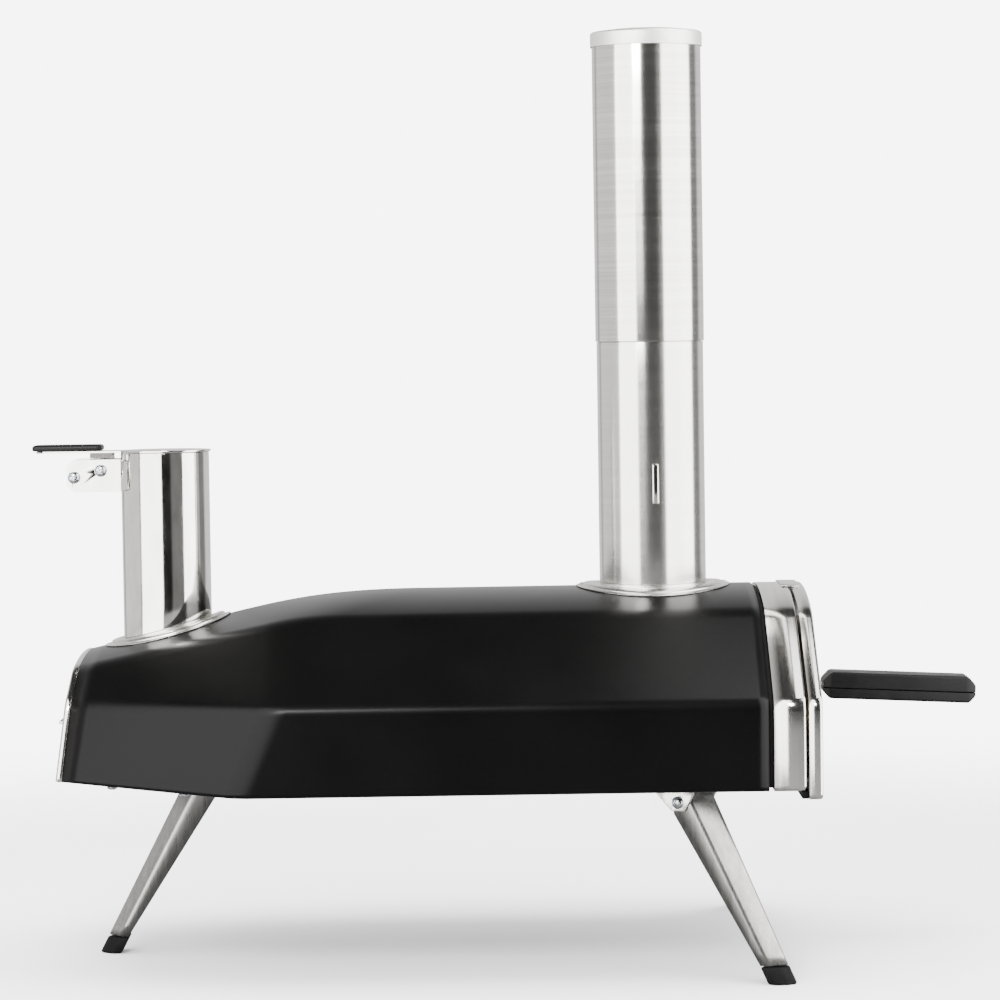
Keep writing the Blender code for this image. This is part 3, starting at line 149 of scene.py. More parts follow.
def makePolished():
    # 304 stainless, bright rolled and buffed: near mirror, with slow waves left by the rolling
    look = {"bright": "#dedcd8", "smudge": "#cfcdc8", "waveMm": 26, "smudgeMm": (9, 9, 24),
            "gloss": (0.045, 0.12), "bump": (0.05, 0.6)}
    material, tree, shader = newMaterial("polished stainless steel", {"Metallic": 1.0})
    wave = pattern(tree, (look["waveMm"],) * 3, 1)
    smudge = pattern(tree, look["smudgeMm"], 5)
    tree.links.new(between(tree, remap(tree, smudge, 0, 1), linear(look["smudge"]), linear(look["bright"])),
                   shader.inputs["Base Color"])
    tree.links.new(remap(tree, smudge, *look["gloss"]), shader.inputs["Roughness"])
    bumped(tree, shader, wave, *look["bump"])
    return material


def makeHeatStained():
    # thin stainless that has been in the fire: straw and bronze clouds over a dull grey
    look = {"grey": "#8b857d", "straw": "#9c8259", "bronze": "#5e4a3c", "cloudMm": (55, 55, 35),
            "stainMm": (22, 22, 16), "gloss": (0.30, 0.48), "bump": (0.08, 0.2)}
    material, tree, shader = newMaterial("heat stained stainless sheet", {"Metallic": 1.0})
    cloud = pattern(tree, look["cloudMm"], 4)
    stain = pattern(tree, look["stainMm"], 3)
    tint = between(tree, remap(tree, stain, 0, 1), linear(look["straw"]), linear(look["bronze"]))
    tree.links.new(between(tree, remap(tree, cloud, 0, 1, 0.38, 0.66), linear(look["grey"]), tint),
                   shader.inputs["Base Color"])
    tree.links.new(remap(tree, stain, *look["gloss"]), shader.inputs["Roughness"])
    bumped(tree, shader, stain, *look["bump"])
    return material


def makeGalvanised():
    # hot-dipped zinc on steel: flat frosty spangles about 9 mm across
    look = {"dark": "#8d9194", "light": "#aeb1b3", "spangleMm": 9, "gloss": (0.38, 0.58), "bump": (0.05, 0.05)}
    material, tree, shader = newMaterial("galvanised steel sheet", {"Metallic": 1.0})
    place = addNode(tree, "ShaderNodeTexCoord")
    cells = addNode(tree, "ShaderNodeTexVoronoi",
                    {"Vector": place.outputs["Object"], "Scale": 1000 / look["spangleMm"]})
    shade = addNode(tree, "ShaderNodeSeparateColor", {0: cells.outputs["Color"]}).outputs[0]
    tree.links.new(between(tree, shade, linear(look["dark"]), linear(look["light"])),
                   shader.inputs["Base Color"])
    tree.links.new(remap(tree, shade, *look["gloss"], 0, 1), shader.inputs["Roughness"])
    bumped(tree, shader, shade, *look["bump"])
    return material


def makeCordierite():
    # pressed and fired cordierite: matt buff ceramic with small darker grains
    look = {"buff": "#c9b796", "pale": "#d8caae", "grain": "#8f7b5e", "cloudMm": 40, "grainMm": 1.6,
            "bump": (0.35, 0.25)}
    material, tree, shader = newMaterial("fired cordierite slab", {"Roughness": 0.9, "IOR": 1.5})
    cloud = pattern(tree, (look["cloudMm"],) * 3, 3)
    grain = pattern(tree, (look["grainMm"],) * 3, 2)
    ground = between(tree, remap(tree, cloud, 0, 1), linear(look["buff"]), linear(look["pale"]))
    tree.links.new(between(tree, remap(tree, grain, 0, 1, 0.60, 0.72), ground, linear(look["grain"])),
                   shader.inputs["Base Color"])
    bumped(tree, shader, grain, *look["bump"])
    return material


def makeFibre():
    # needled ceramic fibre blanket: white, matt, with crossing strands
    look = {"white": "#dedcd4", "shade": "#b9b6ab", "strandMm": (9, 1.2, 1.2), "bump": (0.6, 0.8)}
    material, tree, shader = newMaterial("needled ceramic fibre", {"Roughness": 0.95, "IOR": 1.45})
    strands = pattern(tree, look["strandMm"], 4)
    tree.links.new(between(tree, remap(tree, strands, 0, 1), linear(look["shade"]), linear(look["white"])),
                   shader.inputs["Base Color"])
    bumped(tree, shader, strands, *look["bump"])
    return material


def makeNylon():
    # glass-filled nylon, injection moulded: charcoal black with a fine spark-eroded grain
    look = {"black": "#050505", "rubbed": "#0a0a0a", "rubMm": 18, "grainMm": 0.9, "gloss": (0.36, 0.48),
            "bump": (0.30, 0.06)}
    material, tree, shader = newMaterial("moulded glass-filled nylon", {"IOR": 1.53, "Specular IOR Level": 0.12})
    rub = pattern(tree, (look["rubMm"],) * 3, 3)
    grain = pattern(tree, (look["grainMm"],) * 3, 2)
    tree.links.new(between(tree, remap(tree, rub, 0, 1), linear(look["black"]), linear(look["rubbed"])),
                   shader.inputs["Base Color"])
    tree.links.new(remap(tree, rub, *look["gloss"]), shader.inputs["Roughness"])
    bumped(tree, shader, grain, *look["bump"])
    return material


def makeRubber():
    # moulded silicone rubber: matt black, slightly dusty
    look = {"black": "#050505", "dust": "#0c0c0c", "dustMm": 12, "grainMm": 1.1, "gloss": (0.62, 0.82),
            "bump": (0.35, 0.08)}
    material, tree, shader = newMaterial("moulded black rubber", {"IOR": 1.45, "Specular IOR Level": 0.12})
    dust = pattern(tree, (look["dustMm"],) * 3, 4)
    grain = pattern(tree, (look["grainMm"],) * 3, 2)
    tree.links.new(between(tree, remap(tree, dust, 0, 1), linear(look["black"]), linear(look["dust"])),
                   shader.inputs["Base Color"])
    tree.links.new(remap(tree, dust, *look["gloss"]), shader.inputs["Roughness"])
    bumped(tree, shader, grain, *look["bump"])
    return material


def makeZinc():
    # bright zinc plate on turned steel: cool silver with a slight haze
    look = {"cool": "#c6c9cc", "haze": "#a9acb0", "hazeMm": 3, "gloss": (0.14, 0.26), "bump": (0.06, 0.05)}
    material, tree, shader = newMaterial("bright zinc plate", {"Metallic": 1.0})
    haze = pattern(tree, (look["hazeMm"],) * 3, 3)
    tree.links.new(between(tree, remap(tree, haze, 0, 1), linear(look["haze"]), linear(look["cool"])),
                   shader.inputs["Base Color"])
    tree.links.new(remap(tree, haze, *look["gloss"]), shader.inputs["Roughness"])
    bumped(tree, shader, haze, *look["bump"])
    return material


powderCoat = makePowderCoat()
# each brushed finish has its own line direction: the long axis of the grain runs along the lines
brushedUpper = makeBrushed("stainless tube, brushed round its girth", (70, 70, 0.9), gloss=(0.16, 0.22), smear=0.8)
brushedLower = makeBrushed("stainless tube, brushed dull round its girth", (70, 70, 0.9), pale="#d6d4d0",
                           dull="#cecbc7", gloss=(0.19, 0.24), smear=0.8)
blasted = makeBrushed("stainless cap, bead blasted", (0.7, 0.7, 0.7), pale="#e6e5e2", dull="#dddcd8",
                      gloss=(0.46, 0.54))
satinPressed = makeBrushed("pressed stainless collar, satin", (14, 14, 1.2), gloss=(0.24, 0.32))
brushedUpright = makeBrushed("stainless sheet, brushed upright", (0.9, 70, 70), pale="#d2d0cc", dull="#c4c2bd",
                             gloss=(0.12, 0.17))
brushedAcross = makeBrushed("stainless sheet, brushed across", (40, 40, 0.9), gloss=(0.22, 0.34))
# painted shade: the legs' brushed stainless is coloured much darker than the other steel, standing in for the
# shade on them
shadedLegSteel = makeBrushed("stainless leg, brushed along its length", (1.0, 1.0, 26),
                         pale="#989693", dull="#83817e", gloss=(0.26, 0.36))
polished = makePolished()
heatStained = makeHeatStained()
galvanised = makeGalvanised()
cordierite = makeCordierite()
fibre = makeFibre()
nylon = makeNylon()
rubber = makeRubber()
zinc = makeZinc()
print("materials made")

finishOf = {
    "satin_black_powder_coat": powderCoat, "brushed_stainless": brushedAcross, "polished_stainless": polished,
    "heat_stained_stainless": heatStained, "galvanised_steel": galvanised, "cordierite": cordierite,
    "ceramic_fibre": fibre, "black_nylon": nylon, "black_rubber": rubber, "zinc_plated_steel": zinc,
}


def softLine(corners, reaches, steps):
    # Each inner corner becomes a parabola that leaves the line one reach before the corner and
    # joins it one reach after. The last two axes of corners are the points and their coordinates.
    t = np.linspace(0, 1, steps + 1)[:, None]
    made = [corners[..., :1, :]]
    for k in range(1, corners.shape[-2] - 1):
        corner = corners[..., k:k + 1, :]
        if not reaches[k]:
            made.append(corner)
            continue
        before = corners[..., k - 1:k, :] - corner
        after = corners[..., k + 1:k + 2, :] - corner
        start = corner + before / np.linalg.norm(before, axis=-1, keepdims=True) * reaches[k]
        end = corner + after / np.linalg.norm(after, axis=-1, keepdims=True) * reaches[k]
        made.append(start * (1 - t) ** 2 + 2 * t * (1 - t) * corner + end * t ** 2)
    made.append(corners[..., -1:, :])
    return np.concatenate(made, axis=-2)


def softLoop(corners, reaches, steps):
    # the same for a closed outline: every corner is rounded, and the last point isn't repeated
    count = corners.shape[-2]
    turned = corners[..., np.arange(-1, count + 1) % count, :]
    return softLine(turned, [0, *reaches, 0], steps)[..., 1:-1, :]


sharpAngle = math.radians(38)  # faces that meet more sharply than this keep a hard edge


def outward(mesh):
    # a closed piece has a positive volume, the sum of the signed volumes under its triangles
    mesh.calc_loop_triangles()
    points = np.empty(len(mesh.vertices) * 3)
    mesh.vertices.foreach_get("co", points)
    faces = np.empty(len(mesh.loop_triangles) * 3, np.int64)
    mesh.loop_triangles.foreach_get("vertices", faces)
    corners = points.reshape(-1, 3)[faces.reshape(-1, 3)]
    if np.linalg.det(corners - points.reshape(-1, 3).mean(0)).sum() < 0:
        mesh.flip_normals()


def gridQuads(rows, across, loopRows=False, loopAcross=False):
    # four neighbours make a quad; a looped side joins its last row or column to its first
    index = np.arange(rows * across).reshape(rows, across)
    if loopRows:
        index = np.concatenate([index, index[:1]])
    if loopAcross:
        index = np.concatenate([index, index[:, :1]], axis=1)
    return np.stack([index[:-1, :-1], index[:-1, 1:], index[1:, 1:], index[1:, :-1]], axis=-1).reshape(-1, 4)


def pieceFromGrid(name, grid, material, node, loopRows=False, loopAcross=True, capFirst=False,
                  capLast=False, keep=None, wall=0.0, turnOut=True):
    # grid is (rows, across, 3): neighbours join as quads, and a cap is a fan round the row's middle
    rows, across = grid.shape[:2]
    quads = gridQuads(rows, across, loopRows, loopAcross)
    if keep is not None:
        quads = quads[keep(grid.reshape(-1, 3)[quads].mean(1))]
    points = [grid.reshape(-1, 3)]
    fans = []
    for wanted, row in ((capFirst, 0), (capLast, -1)):
        if wanted:
            rim = np.arange(rows * across).reshape(rows, across)[row]
            middle = rows * across + len(points) - 1
            points.append(grid[row].mean(0)[None])
            fan = np.stack([rim, np.roll(rim, -1), np.full(across, middle)], axis=1)
            fans.append(fan if row else fan[:, ::-1])
    points = np.concatenate(points)
    if keep is not None:  # points that no face uses are dropped
        used = np.unique(quads)
        renumber = np.zeros(len(points), np.int64)
        renumber[used] = np.arange(len(used))
        points, quads = points[used], renumber[quads]
    mesh = bpy.data.meshes.new(name)
    mesh.vertices.add(len(points))
    mesh.vertices.foreach_set("co", points.astype(np.float32).ravel())
    loops = np.concatenate([quads.ravel(), *[fan.ravel() for fan in fans]])
    totals = np.concatenate([np.full(len(quads), 4), *[np.full(len(fan), 3) for fan in fans]])
    mesh.loops.add(len(loops))
    mesh.loops.foreach_set("vertex_index", loops.astype(np.int32))
    mesh.polygons.add(len(totals))
    starts = np.concatenate([[0], np.cumsum(totals)[:-1]])
    mesh.polygons.foreach_set("loop_start", starts.astype(np.int32))
    mesh.update(calc_edges=True)
    mesh.validate()
    if turnOut:
        outward(mesh)
    return addPiece(name, mesh, material, node, wall)


def addPiece(name, mesh, material, node, wall=0.0):
    # puts a mesh in the scene on its node's body; a wall thickens it inward from the outer face
    mesh.materials.append(material)
    mesh.shade_smooth()
    mesh.set_sharp_from_angle(angle=sharpAngle)
    piece = bpy.data.objects.new(name, mesh)
    bpy.context.scene.collection.objects.link(piece)
    if wall:
        solid = piece.modifiers.new("sheet", "SOLIDIFY")
        solid.thickness = wall
        solid.offset = -1
        solid.use_even_offset = True
    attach(piece, bodyOf[node])
    return piece


def middleOf(node):
    # the middle of the frame's box round a piece
    low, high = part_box(node)
    return (low + high) / 2


# the outer shell; lengths are metres in this dictionary and the ones below
shellShape = {
    "sheet": 0.0012, "shoulderHalf": 0.100, "shoulderDrop": 0.015, "creaseRise": 0.068,
    "kneeX": -0.177, "rearHalf": 0.124, "rearFall": 0.0455, "rearLean": 0.119, "rearTopX": -0.333,
    "flange": 0.014, "tuck": 0.002, "crownKnee": (0.025, 0.0008), "crownReaches": (0.066, 0.102),
    "shoulderRear": (0.63, 0.008), "shoulderKnee": (0.016, 0.0006), "shoulderReaches": (0.025, 0.030),
    "creaseRear": 0.89, "footRear": 0.0075, "footKnee": 0.029, "kneeReaches": (0.012, 0.012), "rimPull": 0.0022,
    "columns": (10, 44, 44), "roofSteps": 18, "shoulderReach": 0.0095, "creaseReach": 0.0075,
    "bottomReach": 0.0042, "cornerSteps": 9,
}
shellLow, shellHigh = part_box("body_shell")
shellFront, roofZ, underZ, halfWidth = shellHigh.x, shellHigh.z, shellLow.z, shellHigh.y


def longEdge(rear, knee, front, reaches):
    # rear end to knee and knee to front are straight, and a parabola rounds the knee between them
    rear, knee, front = (np.array(p, float) for p in (rear, knee, front))
    first, bend, last = shellShape["columns"]
    start = knee + (rear - knee) / np.linalg.norm(rear - knee) * reaches[0]
    end = knee + (front - knee) / np.linalg.norm(front - knee) * reaches[1]
    a = np.linspace(0, 1, first, endpoint=False)[:, None]
    b = np.linspace(0, 1, bend, endpoint=False)[:, None]
    c = np.linspace(0, 1, last)[:, None]
    curve = start * (1 - b) ** 2 + 2 * b * (1 - b) * knee + end * b ** 2
    return np.concatenate([rear + (start - rear) * a, curve, end + (front - end) * c])


def shellEdges():
    # the four long edges of one half: crown, shoulder, crease and foot, each with its own knee
    s = shellShape
    knee, width = s["kneeX"], halfWidth
    rearRoof = roofZ - s["rearFall"]
    crease, shoulder = underZ + s["creaseRise"], roofZ - s["shoulderDrop"]

    def rearAt(y, z):  # the rear end leans, so its x goes with the height
        return (s["rearTopX"] - s["rearLean"] * (rearRoof - z), y, z)

    ahead, dip = s["crownKnee"]
    crown = longEdge(rearAt(0, rearRoof), (knee + ahead, 0, roofZ - dip), (shellFront, 0, roofZ),
                     s["crownReaches"])
    share, drop = s["shoulderRear"]
    ahead, dip = s["shoulderKnee"]
    side = longEdge(rearAt(share * s["rearHalf"], rearRoof - drop),
                    (knee + ahead, s["shoulderHalf"], shoulder - dip),
                    (shellFront, s["shoulderHalf"], shoulder), s["shoulderReaches"])
    middle = longEdge(rearAt(s["creaseRear"] * s["rearHalf"], crease), (knee, width, crease),
                      (shellFront, width, crease), s["kneeReaches"])
    foot = longEdge(rearAt(s["rearHalf"], underZ + s["footRear"]),
                    (knee - s["footKnee"], width - s["tuck"], underZ),
                    (shellFront, width - s["tuck"], underZ), s["kneeReaches"])
    return crown, side, middle, foot


def halfSections(crown, side, middle, foot, flange=0.0):
    # each row is one half section: a parabola from crown to shoulder, then two flat facets
    s = shellShape
    share = np.linspace(0, 0.88, s["roofSteps"])[None, :, None]
    crown, side, middle, foot = (p[:, None, :] for p in (crown, side, middle, foot))
    roof = crown + (side - crown) * share
    roof[..., 2] = crown[..., 2] + (side[..., 2] - crown[..., 2]) * share[..., 0] ** 2
    upper = side + (middle - side) * np.array([0.35, 0.65])[None, :, None]
    lower = middle + (foot - middle) * np.array([0.35, 0.65])[None, :, None]
    rows = [roof, side, upper, middle, lower, foot]
    reaches = [0] * s["roofSteps"] + [s["shoulderReach"], 0, 0, s["creaseReach"], 0, 0, s["bottomReach"]]
    if flange:
        rows.append(foot - np.array([0, flange, 0]))
        reaches.append(0)
    return softLine(np.concatenate(rows, axis=1), reaches, s["cornerSteps"])


def bothSides(half):
    # the mirrored half runs up to the crown, and the half itself runs down from it
    mirror = half[:, :0:-1] * np.array([1, -1, 1])
    return np.concatenate([mirror, half], axis=1)


chimneyLow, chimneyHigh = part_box("chimney_lower")
hopperLow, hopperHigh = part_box("hopper_tube")
chimneyX, hopperX = (chimneyLow.x + chimneyHigh.x) / 2, (hopperLow.x + hopperHigh.x) / 2
chimneyR, hopperR = (chimneyHigh.x - chimneyLow.x) / 2, (hopperHigh.x - hopperLow.x) / 2
roofHoles = ((chimneyX, chimneyR - 0.002), (hopperX, hopperR - 0.001))  # each a little inside its tube
crownZ = underZ + 0.09  # holes are only cut above this height


def makeShell():
    # the half sections, mirrored, make one open sheet with two round holes; the roof's part of the
    # grid goes back to the caller, because the collars and the hopper stand on it
    grid = bothSides(halfSections(*shellEdges(), flange=shellShape["flange"]))
    crown, across = grid.shape[1] // 2, shellShape["roofSteps"]
    roof = grid[:, crown - across + 1:crown + across].copy()
    for x, radius in roofHoles:  # points near a hole's rim are drawn onto it, so that the rim is round
        flat = grid[..., :2] - np.array([x, 0])
        reach = np.linalg.norm(flat, axis=-1)
        near = (np.abs(reach - radius) < shellShape["rimPull"]) & (grid[..., 2] > crownZ)
        scale = np.where(near, radius / np.maximum(reach, 1e-6), 1.0)
        grid[..., :2] = flat * scale[..., None] + np.array([x, 0])

    def outsideHoles(middles):
        keep = np.ones(len(middles), bool)
        for x, radius in roofHoles:
            inside = np.hypot(middles[:, 0] - x, middles[:, 1]) < radius
            keep &= ~(inside & (middles[:, 2] > crownZ))
        return keep

    shell = pieceFromGrid("outerShell", grid, powderCoat, "body_shell", loopAcross=False,
                          keep=outsideHoles, wall=shellShape["sheet"], turnOut=False)
    up = max(shell.data.polygons, key=lambda face: face.center.z).normal.z
    if up < 0:
        shell.data.flip_normals()
    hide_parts("body_shell")
    return roof


roofRows = makeShell()


def roofHeight(x, y):
    # The height of the shell's outer face. Each row of the roof is read at y, and a straight line
    # joins the rows before and after x.
    atY = np.array([[np.interp(y.ravel(), row[:, 1], row[:, k]) for k in (0, 2)] for row in roofRows])
    before = np.clip((atY[:, 0] < x.ravel()).sum(0) - 1, 0, len(roofRows) - 2)
    each = np.arange(x.size)
    (rearX, rearZ), (frontX, frontZ) = atY[before, :, each].T, atY[before + 1, :, each].T
    return (rearZ + (frontZ - rearZ) * (x.ravel() - rearX) / (frontX - rearX)).reshape(x.shape)


print("shell made")


frontShape = {
    "sheet": 0.0012, "edge": 0.0022, "edgeSteps": 6, "flange": 0.012, "overlap": 0.004, "mouthInset": 0.024,
    "mouthSill": 0.024, "lipStart": 0.0008, "lipDepths": (0.0, 0.0006, 0.0014), "lipSlope": 0.57,
    "doorPanel": 0.006,
}


def frontOutline(x, inset=0.0, bottom=None):
    # The front section moved inward: each corner moves along the bisector of its two faces, so
    # that both faces move by the inset.
    s = shellShape
    crease, shoulder = underZ + s["creaseRise"], roofZ - s["shoulderDrop"]
    corners = np.array([[s["shoulderHalf"], shoulder], [halfWidth, crease], [halfWidth - s["tuck"], underZ]])
    fall = np.array([s["shoulderHalf"], -2 * s["shoulderDrop"]])
    lines = np.array([fall, corners[1] - corners[0], corners[2] - corners[1]])
    normals = np.stack([lines[:, 1], -lines[:, 0]], axis=1)
    normals /= np.linalg.norm(normals, axis=1, keepdims=True)
    first, second = normals[[0, 1, 2]], normals[[1, 2, 2]]
    moved = corners + (first + second) * (inset / (1 + (first * second).sum(1)))[:, None]
    low = underZ if bottom is None else bottom
    down = moved[2] - moved[1]
    moved[2] = moved[1] + down * ((low - moved[1, 1]) / down[1])
    crown = np.array([0, roofZ - inset])
    points = [np.array([[x, *p]]) for p in (crown, moved[0], moved[1], moved[2])]
    half = halfSections(*points, flange=frontShape["flange"])
    loop = bothSides(half)[0]
    loop[:, 0] = x
    return loop


def roundedRings(rear, front, bottom, edge, inset=0.0):
    # straight back from the front face, with a quarter circle between side and face
    t = np.linspace(0, math.pi / 2, frontShape["edgeSteps"])
    rings = [frontOutline(rear, inset, bottom + inset)]
    for c, s in zip(np.cos(t), np.sin(t)):
        drawn = inset + edge * (1 - c)
        rings.append(frontOutline(front - edge * (1 - s), drawn, bottom + drawn))
    return rings


fasciaLow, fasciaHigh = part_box("front_fascia")
doorLow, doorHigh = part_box("door_outer")


def makeFascia():
    # the front section in rings: over the shell's end, round the edge, across the face to the mouth
    f = frontShape
    rings = roundedRings(shellFront + f["overlap"], fasciaHigh.x, underZ, f["edge"])
    sill = underZ + f["mouthSill"]
    for back in f["lipDepths"]:  # the mouth's lip turns back into the oven
        drawn = back * f["lipSlope"] - f["lipStart"]
        rings.append(frontOutline(fasciaHigh.x - back, f["mouthInset"] + drawn, sill + drawn))
    rings.append(frontOutline(fasciaLow.x, f["mouthInset"], sill))
    fascia = pieceFromGrid("frontFascia", np.array(rings), brushedUpright, "front_fascia",
                           wall=f["sheet"], turnOut=False)
    face = fascia.data.polygons[0]
    if face.normal.dot(face.center - Vector((face.center.x, 0, underZ + 0.06))) < 0:
        fascia.data.flip_normals()
    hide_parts("front_fascia")


def makeDoorSkin():
    # the same outline, from the door's foot up, closed by a flat face
    f = frontShape
    rings = roundedRings(doorLow.x, doorHigh.x, doorLow.z, f["edge"])
    rings.append(frontOutline(doorHigh.x, f["doorPanel"], doorLow.z + f["doorPanel"]))
    skin = pieceFromGrid("doorSkin", np.array(rings), brushedUpright, "door_outer",
                         capLast=True, wall=f["sheet"], turnOut=False)
    if skin.data.polygons[-1].normal.x < 0:
        skin.data.flip_normals()
    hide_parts("door_outer")


makeFascia()
makeDoorSkin()
print("front made")


def turnedGrid(profile, sides, matrix=None):
    # a profile of (radius, height) points, carried round the Z axis and then put in place
    angle = np.arange(sides) * 2 * math.pi / sides
    radius, height = profile[:, :1], profile[:, 1:]
    grid = np.stack([radius * np.cos(angle), radius * np.sin(angle), height + 0 * angle], axis=-1)
    return placed(grid, matrix) if matrix is not None else grid


def placed(grid, matrix):
    # every point turned and moved by one matrix
    m = np.array(matrix)
    return grid @ m[:3, :3].T + m[:3, 3]


tubeShape = {"wall": 0.001, "sides": 128, "rim": 0.00045, "rimSteps": 3, "wallSteps": 7, "seatLift": 0.0024}


def makeTube(name, node, material, seat=None):
    # Outer face, rim, inner face and foot as one closed loop of rings. A seat gives the foot's height.
    low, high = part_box(node)
    centre, radius = (low.x + high.x) / 2, (high.x - low.x) / 2
    inner = radius - tubeShape["wall"]
    section = np.array([[radius, low.z], [radius, high.z], [inner, high.z], [inner, low.z]])
    loop = softLoop(section, [tubeShape["rim"]] * 4, tubeShape["rimSteps"])
    steps = np.linspace(0, 1, tubeShape["wallSteps"])[1:-1, None]
    walls = []
    for k in range(len(loop)):
        following = loop[(k + 1) % len(loop)]
        walls.append(loop[k][None])
        if abs(following[1] - loop[k][1]) > 0.01:  # the two long walls get rings between their ends
            walls.append(loop[k] + (following - loop[k]) * steps)
    grid = turnedGrid(np.concatenate(walls), tubeShape["sides"], Matrix.Translation((centre, 0, 0)))
    if seat is not None:
        share = np.clip((high.z - grid[..., 2]) / (high.z - low.z), 0, 1)
        foot = seat(grid[..., 0], grid[..., 1])
        grid[..., 2] = high.z - (high.z - foot) * share
    tube = pieceFromGrid(name, grid, material, node, loopRows=True)
    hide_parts(node)


def hopperSeat(x, y):
    # the hopper's foot stands a little above the roof's middle line, on its collar
    return roofHeight(x, 0 * y) + tubeShape["seatLift"]


makeTube("lowerChimneyTube", "chimney_lower", brushedLower)
makeTube("upperChimneyTube", "chimney_upper", brushedUpper)
makeTube("hopperTube", "hopper_tube", polished, seat=hopperSeat)


collarShape = {
    "lipWidth": 0.0045, "lipInsets": (0, 0, 0.0004, 0.0035), "lipLifts": (0.0003, 0.0009, 0.0012, 0.0013),
    "beadGap": 0.0018, "beadLift": 0.0014, "beadRise": 0.0022, "beadSteps": 11, "neckPlay": 0.0003,
    "rootOut": (0.0012, 0.0003, 0, 0), "rootLifts": (0.0016, 0.0019, 0.003), "sheet": 0.001,
}


def makeCollar(name, node, tubeRadius, neckRise):
    # Rings that follow the roof outward: a thin lip outside, a pressed half-round bead, a small
    # root, and a neck that stands up inside the tube.
    c = collarShape
    low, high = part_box(node)
    centre, outer = (low.x + high.x) / 2, (high.x - low.x) / 2
    neck = tubeRadius - tubeShape["wall"] - c["neckPlay"]
    turn = np.linspace(0, math.pi, c["beadSteps"])
    beadFrom, beadTo = outer - c["lipWidth"], tubeRadius + c["beadGap"]
    bead = (beadFrom + beadTo) / 2 + (beadFrom - beadTo) / 2 * np.cos(turn)
    radii = np.concatenate([outer - np.array(c["lipInsets"]), bead, neck + np.array(c["rootOut"])])
    lifts = np.concatenate([c["lipLifts"], c["beadLift"] + c["beadRise"] * np.sin(turn), c["rootLifts"],
                            [neckRise]])
    angle = np.arange(tubeShape["sides"]) * 2 * math.pi / tubeShape["sides"]
    x = centre + radii[:, None] * np.cos(angle)
    y = radii[:, None] * np.sin(angle)
    grid = np.stack([x, y, roofHeight(x, y) + lifts[:, None]], axis=-1)
    collar = pieceFromGrid(name, grid, satinPressed, node, wall=c["sheet"], turnOut=False)
    if collar.data.polygons[3 * tubeShape["sides"]].normal.z < 0:
        collar.data.flip_normals()
    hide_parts(node)


makeCollar("chimneyCollar", "chimney_collar", chimneyR, 0.0235)
makeCollar("hopperCollar", "hopper_collar", hopperR, 0.0175)


capShape = {
    # each point of the section: share of the radius, metres in from there, metres below the top
    "outside": ((0, 0, 0), (0.55, 0, 0.0006), (1, 0.0012, 0.0030), (1, 0, 0.0042)),
    "inside": ((1, 0.0008, 0.0058), (1, 0.004, 0.0046), (0, 0, 0.0015)), "sheet": 0.0008,
    "reaches": (0, 0.006, 0.0008, 0.0008, 0.0002, 0.0002, 0.0010, 0.001, 0), "steps": 5,
}


def makeCap():
    # a shallow dome with a skirt, turned from its softened section and closed by a fan at each middle
    low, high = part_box("chimney_cap")
    centre, radius = (low.x + high.x) / 2, (high.x - low.x) / 2
    outside, inside = ([[radius * share - inset, high.z - drop] for share, inset, drop in capShape[side]]
                       for side in ("outside", "inside"))
    skirt = [[radius, low.z], [radius - capShape["sheet"], low.z]]
    profile = softLine(np.array([*outside, *skirt, *inside]), capShape["reaches"], capShape["steps"])
    grid = turnedGrid(profile[1:-1], tubeShape["sides"], Matrix.Translation((centre, 0, 0)))
    cap = pieceFromGrid("chimneyCap", grid, blasted, "chimney_cap", capFirst=True, capLast=True)
    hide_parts("chimney_cap")


makeCap()
print("chimney and hopper made")


screwShape = {
    "sides": 72, "rings": 26, "head": 0.0048, "undercut": 0.97, "crown": 0.82, "flatness": (2.6, 0.75),
    "recessDepth": 0.0015, "armHalf": 0.00052, "armReach": 0.0026, "sideFade": 0.0002, "endFade": 0.0004,
}


def crossScrew(name, node, matrix, shank, foot, nut, face, dome):
    # A turned screw. Its domed head sinks along two crossed bars: the depth is full inside an arm
    # and fades over a fifth of a millimetre at its edge.
    s = screwShape
    head, (power, root) = s["head"], s["flatness"]
    below = np.array([[1e-5, -foot], [nut, -foot], [nut, -face], [shank, -face], [shank, face],
                      [head * s["undercut"], face]])
    ring = head * np.cos(np.linspace(0, math.pi / 2, s["rings"], endpoint=False))
    rise = face + dome * (s["crown"] * (1 - (ring / head) ** power) ** root + 1 - s["crown"])
    grid = turnedGrid(np.concatenate([below, np.stack([ring, rise], axis=1)]), s["sides"])
    u, v = np.abs(grid[len(below):, :, 0]), np.abs(grid[len(below):, :, 1])

    def arm(across, along):
        inside = np.clip((s["armHalf"] - across) / s["sideFade"] + 0.5, 0, 1)
        return inside * np.clip((s["armReach"] - along) / s["endFade"] + 0.5, 0, 1)

    grid[len(below):, :, 2] -= s["recessDepth"] * np.maximum(arm(u, v), arm(v, u))
    screw = pieceFromGrid(name, placed(grid, matrix), zinc, node, capFirst=True, capLast=True)
    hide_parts(node)


lidScrewShape = {"shank": 0.002, "foot": 0.0188, "nut": 0.004, "face": 0.016, "dome": 0.003}
lidScrews = {"lidPivotScrew": ("lid_pivot_screw", 20), "lidStopScrew": ("lid_stop_screw", 52)}  # degrees turned
sideways = Matrix.Rotation(math.pi / 2, 4, "X")
for name, (node, degrees) in lidScrews.items():
    centre = middleOf(node)
    centre.y = 0
    turn = Matrix.Rotation(math.radians(degrees), 4, "Z")
    crossScrew(name, node, Matrix.Translation(centre) @ sideways @ turn, **lidScrewShape)


